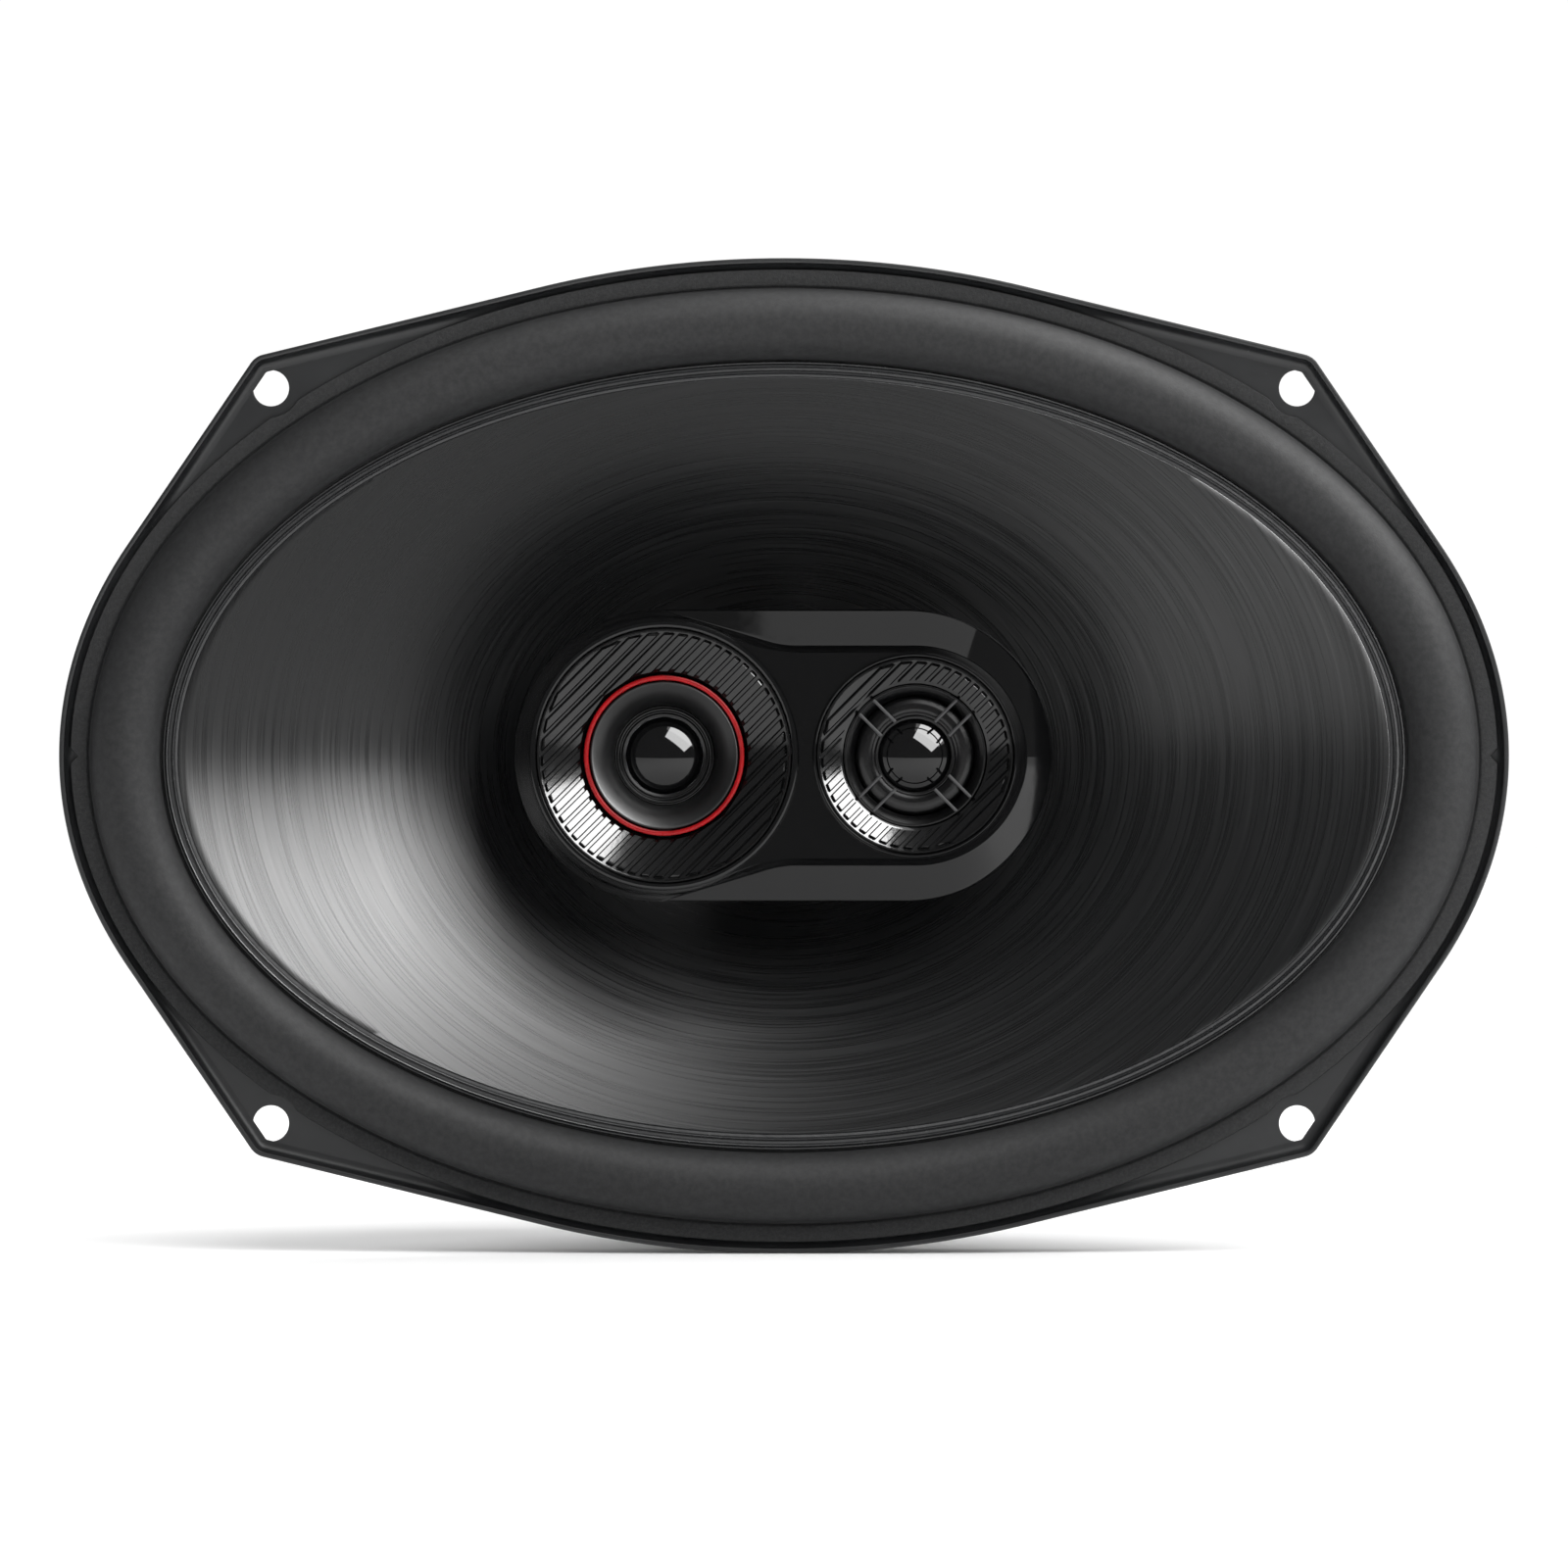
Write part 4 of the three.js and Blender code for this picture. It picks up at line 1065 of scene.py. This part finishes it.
def make_bezel(node, x, bore, inner, rear):
    """The funnel-shaped ridged ring of one small driver."""
    outer = bore - 0.12
    front = POD_LIP_FRONT + 0.75

    def floor(radius):
        share = (outer - radius) / (outer - inner)
        return front + RIDGE_HEIGHT - 0.2 + share * (rear - front - 0.25)

    profile = [
        (outer, front + 2), (outer, front + 0.15), (outer - 0.1, front), (outer - 0.35, front),
        (outer - 0.45, front + 0.1), (outer - 0.5, floor(outer - 0.5)),
    ]
    profile += [(r, floor(r)) for r in np.linspace(outer - 0.9, inner + 0.2, 8)]
    profile += [(inner + 0.05, floor(inner) + 0.05), (inner, floor(inner) + 0.3), (inner, rear + 1.5)]
    shape = Shape().grid(turned(profile, ROUND_STEPS, x=x))
    # The bars' tops take ridged_black; their sides take the copy with the painted groove shade.
    add_ridges(shape, x, inner + 0.5, outer - 0.8, floor, 0, 1)
    place(shape.object(f"{node}_fine", RIDGED, GROOVE_SHADE, sharp=30), node)


DOME_HEIGHT = 1.75


def make_dome(node, x, body, base_ring):
    """A glossy cap on its flat seat."""
    low, high = box_mm(node)
    radius = (high[0] - low[0]) / 2
    base = high[1] - 0.1
    apex = base - DOME_HEIGHT
    cap_radius = radius - base_ring
    height = base - apex
    sphere = (cap_radius**2 + height**2) / (2 * height)
    edge = math.asin(min(1, cap_radius / sphere))
    profile = []
    for t in np.linspace(0, 1, 25):
        a = edge * t
        profile.append((sphere * math.sin(a), apex + sphere * (1 - math.cos(a))))
    profile += [(cap_radius + 0.12, base + 0.02), (radius - 0.1, base - 0.03),
                (radius, base + 0.05), (radius, high[1]), (0, high[1])]
    shape = Shape().grid(turned(profile, SMALL_STEPS, x=x))
    place(shape.object(f"{node}_fine", DOME_GLOSS, sharp=40), node, body)


def make_small_surround(node, x, steps):
    """The thin ring that lets a dome move: (radius, height) steps of its front, outermost first."""
    base = box_mm(node)[1][1] - 0.35
    line = [(radius, base - height) for radius, height in steps]
    shape = Shape().grid(turned(walled(rounded(line, 0.25, closed=False), 0.2), SMALL_STEPS, x=x),
                         closed_rows=True)
    obj = shape.object(f"{node}_fine", FILM, sharp=60)
    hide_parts(node)
    radial_blend(obj, steps[0][0] - 0.3, steps[-1][0], centre=x)


MID_STEPS = [(7.9, 0.2), (7.75, 0.75), (7.35, 0.75), (7.2, 0.3), (6.95, 0.25), (6.8, 0.55), (6.32, 0.3)]
TWEETER_STEPS = [(9.5, 0.1), (9.3, 0.6), (8.4, 1.05), (7.4, 1.1), (6.6, 0.8), (6.2, 0.1), (5.95, 0.1)]


def make_midrange():
    x = MID_X
    make_bezel("mid_bezel", x, MID_BORE, 13.15, -10.5)
    low, high = box_mm("mid_trim_ring")
    corners = [(12.2, low[1] + 0.9), (12.25, low[1]), (12.95, low[1]), (13.0, high[1]), (12.2, high[1])]
    make_turned("mid_trim_ring", corners, 0.3, RED, x)

    low, high = box_mm("mid_throat")
    mouth, neck, front, rear = 12, 8.1, low[1], -5.7
    flare = []
    last = 1.05
    for t in np.linspace(0, last, 25):
        out = (1 - math.cos(t)) / (1 - math.cos(last))
        forward = math.sin(t) / math.sin(last)
        flare.append((neck + (mouth - 0.3 - neck) * out, rear + (front - rear) * forward))
    profile = [*flare, (mouth - 0.1, front + 0.05), (mouth, front + 0.2), (mouth, high[1]),
               (neck - 0.6, high[1]), (neck - 0.6, rear - 0.1), (neck - 0.45, rear - 0.28),
               (neck - 0.15, rear - 0.28)]
    shape = Shape().grid(turned(profile, ROUND_STEPS, x=x), closed_rows=True)
    place(shape.object("mid_throat_fine", SATIN, sharp=45), "mid_throat")
    make_small_surround("mid_surround", x, MID_STEPS)
    make_dome("mid_dome", x, "mid_diaphragm", 0.15)


def make_tweeter():
    x = TWEETER_X
    make_bezel("tweeter_bezel", x, TWEETER_BORE, 11.65, -11.4)
    low, high = box_mm("tweeter_frame")
    outer = (high[0] - low[0]) / 2
    corners = [(9.8, -9.0), (outer, low[1]), (outer, high[1]), (9.8, high[1])]
    make_turned("tweeter_frame", corners, 0.1, FILM, x)
    low, high = box_mm("tweeter_guard")
    front, rear = low[1], high[1]
    outer, ring_width, hub, hub_width = 11.4, 0.35, 6.2, 0.2
    shape = Shape()
    for inner, wide in ((outer - ring_width, outer), (hub, hub + hub_width)):
        low_front = front + 0.9
        section = rounded([(inner, low_front), (wide, low_front), (wide, rear), (inner, rear)], 0.08)
        shape.grid(turned(section, SMALL_STEPS, x=x), closed_rows=True, slot=1)
    width, spacing = 0.5, 3.2
    start, end = hub + hub_width / 2, outer - ring_width / 2
    for angle in (45, 135, 225, 315):
        a = math.radians(angle)
        along = np.array([math.cos(a), math.sin(a)])
        across = np.array([-math.sin(a), math.cos(a)])
        for side in (-1, 1):
            offset = side * spacing / 2
            section = rounded(
                [(-width / 2, front + 0.1), (width / 2, front + 0.1), (width / 2, rear), (-width / 2, rear)],
                0.24,
            )
            rows = []
            for reach in (start, end):
                distance = math.sqrt(reach**2 - offset**2)
                row = []
                for u, y in section:
                    px, pz = along * distance + across * (offset + u)
                    row.append((x + px, y, pz))
                rows.append(row)
            shape.grid(rows)
    place(shape.object("tweeter_guard_fine", RIB, FILM, sharp=40), "tweeter_guard")
    make_small_surround("tweeter_surround", x, TWEETER_STEPS)
    make_dome("tweeter_dome", x, "tweeter_diaphragm", 0.0)


# ---------------------------------------------------------------- CAD nodes that keep their shape

KEPT = {
    "pod_bolt": ZINC, "stem_nut": ZINC,
    "mid_coil": COPPER, "mid_pole_plate": ZINC, "mid_magnet": NICKEL, "mid_yoke": ZINC,
    "tweeter_coil": COPPER, "tweeter_pole_plate": ZINC, "tweeter_magnet": NICKEL, "tweeter_yoke": ZINC,
}


def finish_kept_nodes():
    for node, material in KEPT.items():
        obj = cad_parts[node]
        obj.data.materials.clear()
        obj.data.materials.append(material)


# ---------------------------------------------------------------- stage, light and camera

def make_floor():
    """A wide white floor at the flange's lower edge, lit by lamps of its own."""
    low = -FLANGE_B
    side, near, far = 9000, -1150, 9000
    shape = Shape().flat([[(-side, near), (side, near), (side, far), (-side, far)]], 0)
    shape.vertices = [(x, z, low) for x, _, z in shape.vertices]
    s = Surface("floor_white", (0.9, 0.9, 0.9), 0.9, specular=0.0)
    s.tint(s.ramp(s.noise(0.01), 0.4, 0.6, 0, 1), (0.895, 0.895, 0.895))
    floor = shape.object("floor", s.material)
    return floor


def area_light(name, centre, outward, across, size, radiance, reflected_only):
    """A rectangle of light at `centre` that shines against `outward`, its width along `across`."""
    lamp = bpy.data.lights.new(name, "AREA")
    lamp.shape = "RECTANGLE"
    lamp.size, lamp.size_y = size
    lamp.energy = radiance * math.pi * size[0] * size[1]
    obj = bpy.data.objects.new(name, lamp)
    bpy.context.scene.collection.objects.link(obj)
    outward = Vector(outward).normalized()
    side = Vector(across).normalized()
    side = (side - outward * side.dot(outward)).normalized()
    turn = Matrix((side, outward.cross(side), outward)).transposed()
    obj.matrix_world = Matrix.Translation(centre) @ turn.to_4x4()
    obj.visible_diffuse = not reflected_only
    return obj


ONLY, ALL_BUT = "INCLUDE", "EXCLUDE"


def lit_only(light, receivers, state=ONLY):
    """The light falls on these objects and no others, or on all others."""
    group = bpy.data.collections.new(f"receivers_of_{light.name}")
    for receiver in receivers:
        group.objects.link(receiver)
    for member in group.collection_objects:
        member.light_linking.link_state = state
    light.light_linking.receiver_collection = group


BOX_DISTANCE = 0.9
SOFTBOX_CENTRE = Vector((0.563, -0.258, 0.786)) * BOX_DISTANCE
SOFTBOX_ACROSS = (0.818, 0.035, -0.573)
SOFTBOX_SIZE = [side * BOX_DISTANCE for side in (1.06, 1.4)]
SOFTBOX_RADIANCE, SOFTBOX_DIFFUSE_SHARE = 11.0, 0.25
DOME_BOX_CENTRE = Vector((0.464, -0.659, 0.592)) * BOX_DISTANCE
DOME_BOX_ACROSS = (0.787, 0, -0.617)
CARD_CENTRE = (0.174, 0, 0.6)
FRONT_CENTRE = (0.70, -0.9, 0.73)
FRONT_SIZE = (0.86, 1.1)
LOW_CENTRE = (-0.15, -0.8, -0.7)
RIGHT, FORWARD, UP = (1, 0, 0), (0, -1, 0), (0, 0, 1)

# Each floor lamp is (tilt in degrees, strength).
FLOOR_LAMPS = ((-44, 2.3), (34, 1.55))
FLOOR_LAMP_SPREAD = 42


def make_lights(floor):
    """Softboxes, each linked to the pieces that it lights, and two lamps for the floor alone."""
    soft = (SOFTBOX_CENTRE, SOFTBOX_CENTRE, SOFTBOX_ACROSS, SOFTBOX_SIZE)
    diffuse = SOFTBOX_RADIANCE * SOFTBOX_DIFFUSE_SHARE
    gloss = SOFTBOX_RADIANCE * (1 - SOFTBOX_DIFFUSE_SHARE)
    dome_box = (DOME_BOX_CENTRE, DOME_BOX_CENTRE, DOME_BOX_ACROSS, (0.7, 0.78))
    front = (FRONT_CENTRE, FORWARD, RIGHT, FRONT_SIZE)
    domes = ("mid_dome", "tweeter_dome")
    rings = ("mid_bezel", "tweeter_bezel", "mid_throat")
    rows = (
        ("softbox", *soft, diffuse, False, ALL_BUT, "pod_housing"),
        ("softbox_gloss", *soft, gloss, True, ALL_BUT, "pod_housing", *domes),
        ("dome_box", *dome_box, 17.0, True, ONLY, *domes),
        ("fill", *front, 2.2, False, ONLY, "cone"),
        ("low_fill", LOW_CENTRE, FORWARD, RIGHT, (0.9, 0.7), 3.0, False, ONLY, "surround"),
        ("card", CARD_CENTRE, UP, RIGHT, (0.36, 0.5), 0.8, True, ONLY, "pod_housing"),
        ("front_box_1", *front, 78.0, True, ONLY, "cone"),
        ("front_box_2", *front, 26.0, True, ONLY, *rings),
    )
    for name, centre, outward, across, size, radiance, reflected_only, state, *pieces in rows:
        light = area_light(name, centre, outward, across, size, radiance, reflected_only)
        lit_only(light, [bpy.data.objects[f"{piece}_fine"] for piece in pieces], state)
    for i, (tilt, energy) in enumerate(FLOOR_LAMPS):
        sky = bpy.data.lights.new(f"floor_lamp_{i + 1}", "SUN")
        sky.energy = energy
        sky.angle = math.radians(FLOOR_LAMP_SPREAD)
        lamp = bpy.data.objects.new(sky.name, sky)
        bpy.context.scene.collection.objects.link(lamp)
        lamp.rotation_euler = (math.radians(tilt), 0, 0)
        lit_only(lamp, [floor])


WORLD_FOR_SPEAKER, WORLD_FOR_CAMERA = 0.22, 1.05


def make_world():
    """White to the eye, and dim in what the speaker reflects."""
    world = bpy.data.worlds.new("studio")
    bpy.context.scene.world = world
    world.use_nodes = True
    nodes, links = world.node_tree.nodes, world.node_tree.links
    background = nodes["Background"]
    mix = nodes.new("ShaderNodeMix")
    ray = nodes.new("ShaderNodeLightPath")
    mix.inputs["A"].default_value = WORLD_FOR_SPEAKER
    mix.inputs["B"].default_value = WORLD_FOR_CAMERA
    links.new(ray.outputs["Is Camera Ray"], mix.inputs[0])
    links.new(mix.outputs[0], background.inputs["Strength"])
    background.inputs["Color"].default_value = (1, 1, 1, 1)


def make_camera():
    """Square to the front, a little below the driver's axis, through a long lens."""
    distance, height, frame_width = 1.4, -0.0046, 0.2557
    data = bpy.data.cameras.new("camera")
    data.sensor_width = 36
    data.lens = data.sensor_width * distance / frame_width
    data.clip_start, data.clip_end = 0.01, 100
    camera = bpy.data.objects.new("camera", data)
    bpy.context.scene.collection.objects.link(camera)
    camera.location = (0, -distance, height)
    camera.rotation_euler = (math.pi / 2, 0, 0)
    bpy.context.scene.camera = camera


make_camera()
make_basket()
make_surround()
make_cone()
make_coil()
make_spider()
make_motor()
make_terminals()
make_pod()
make_midrange()
make_tweeter()
finish_kept_nodes()
make_world()
make_lights(make_floor())

settings = bpy.context.scene.view_settings
settings.view_transform = "Standard"
settings.look = "None"
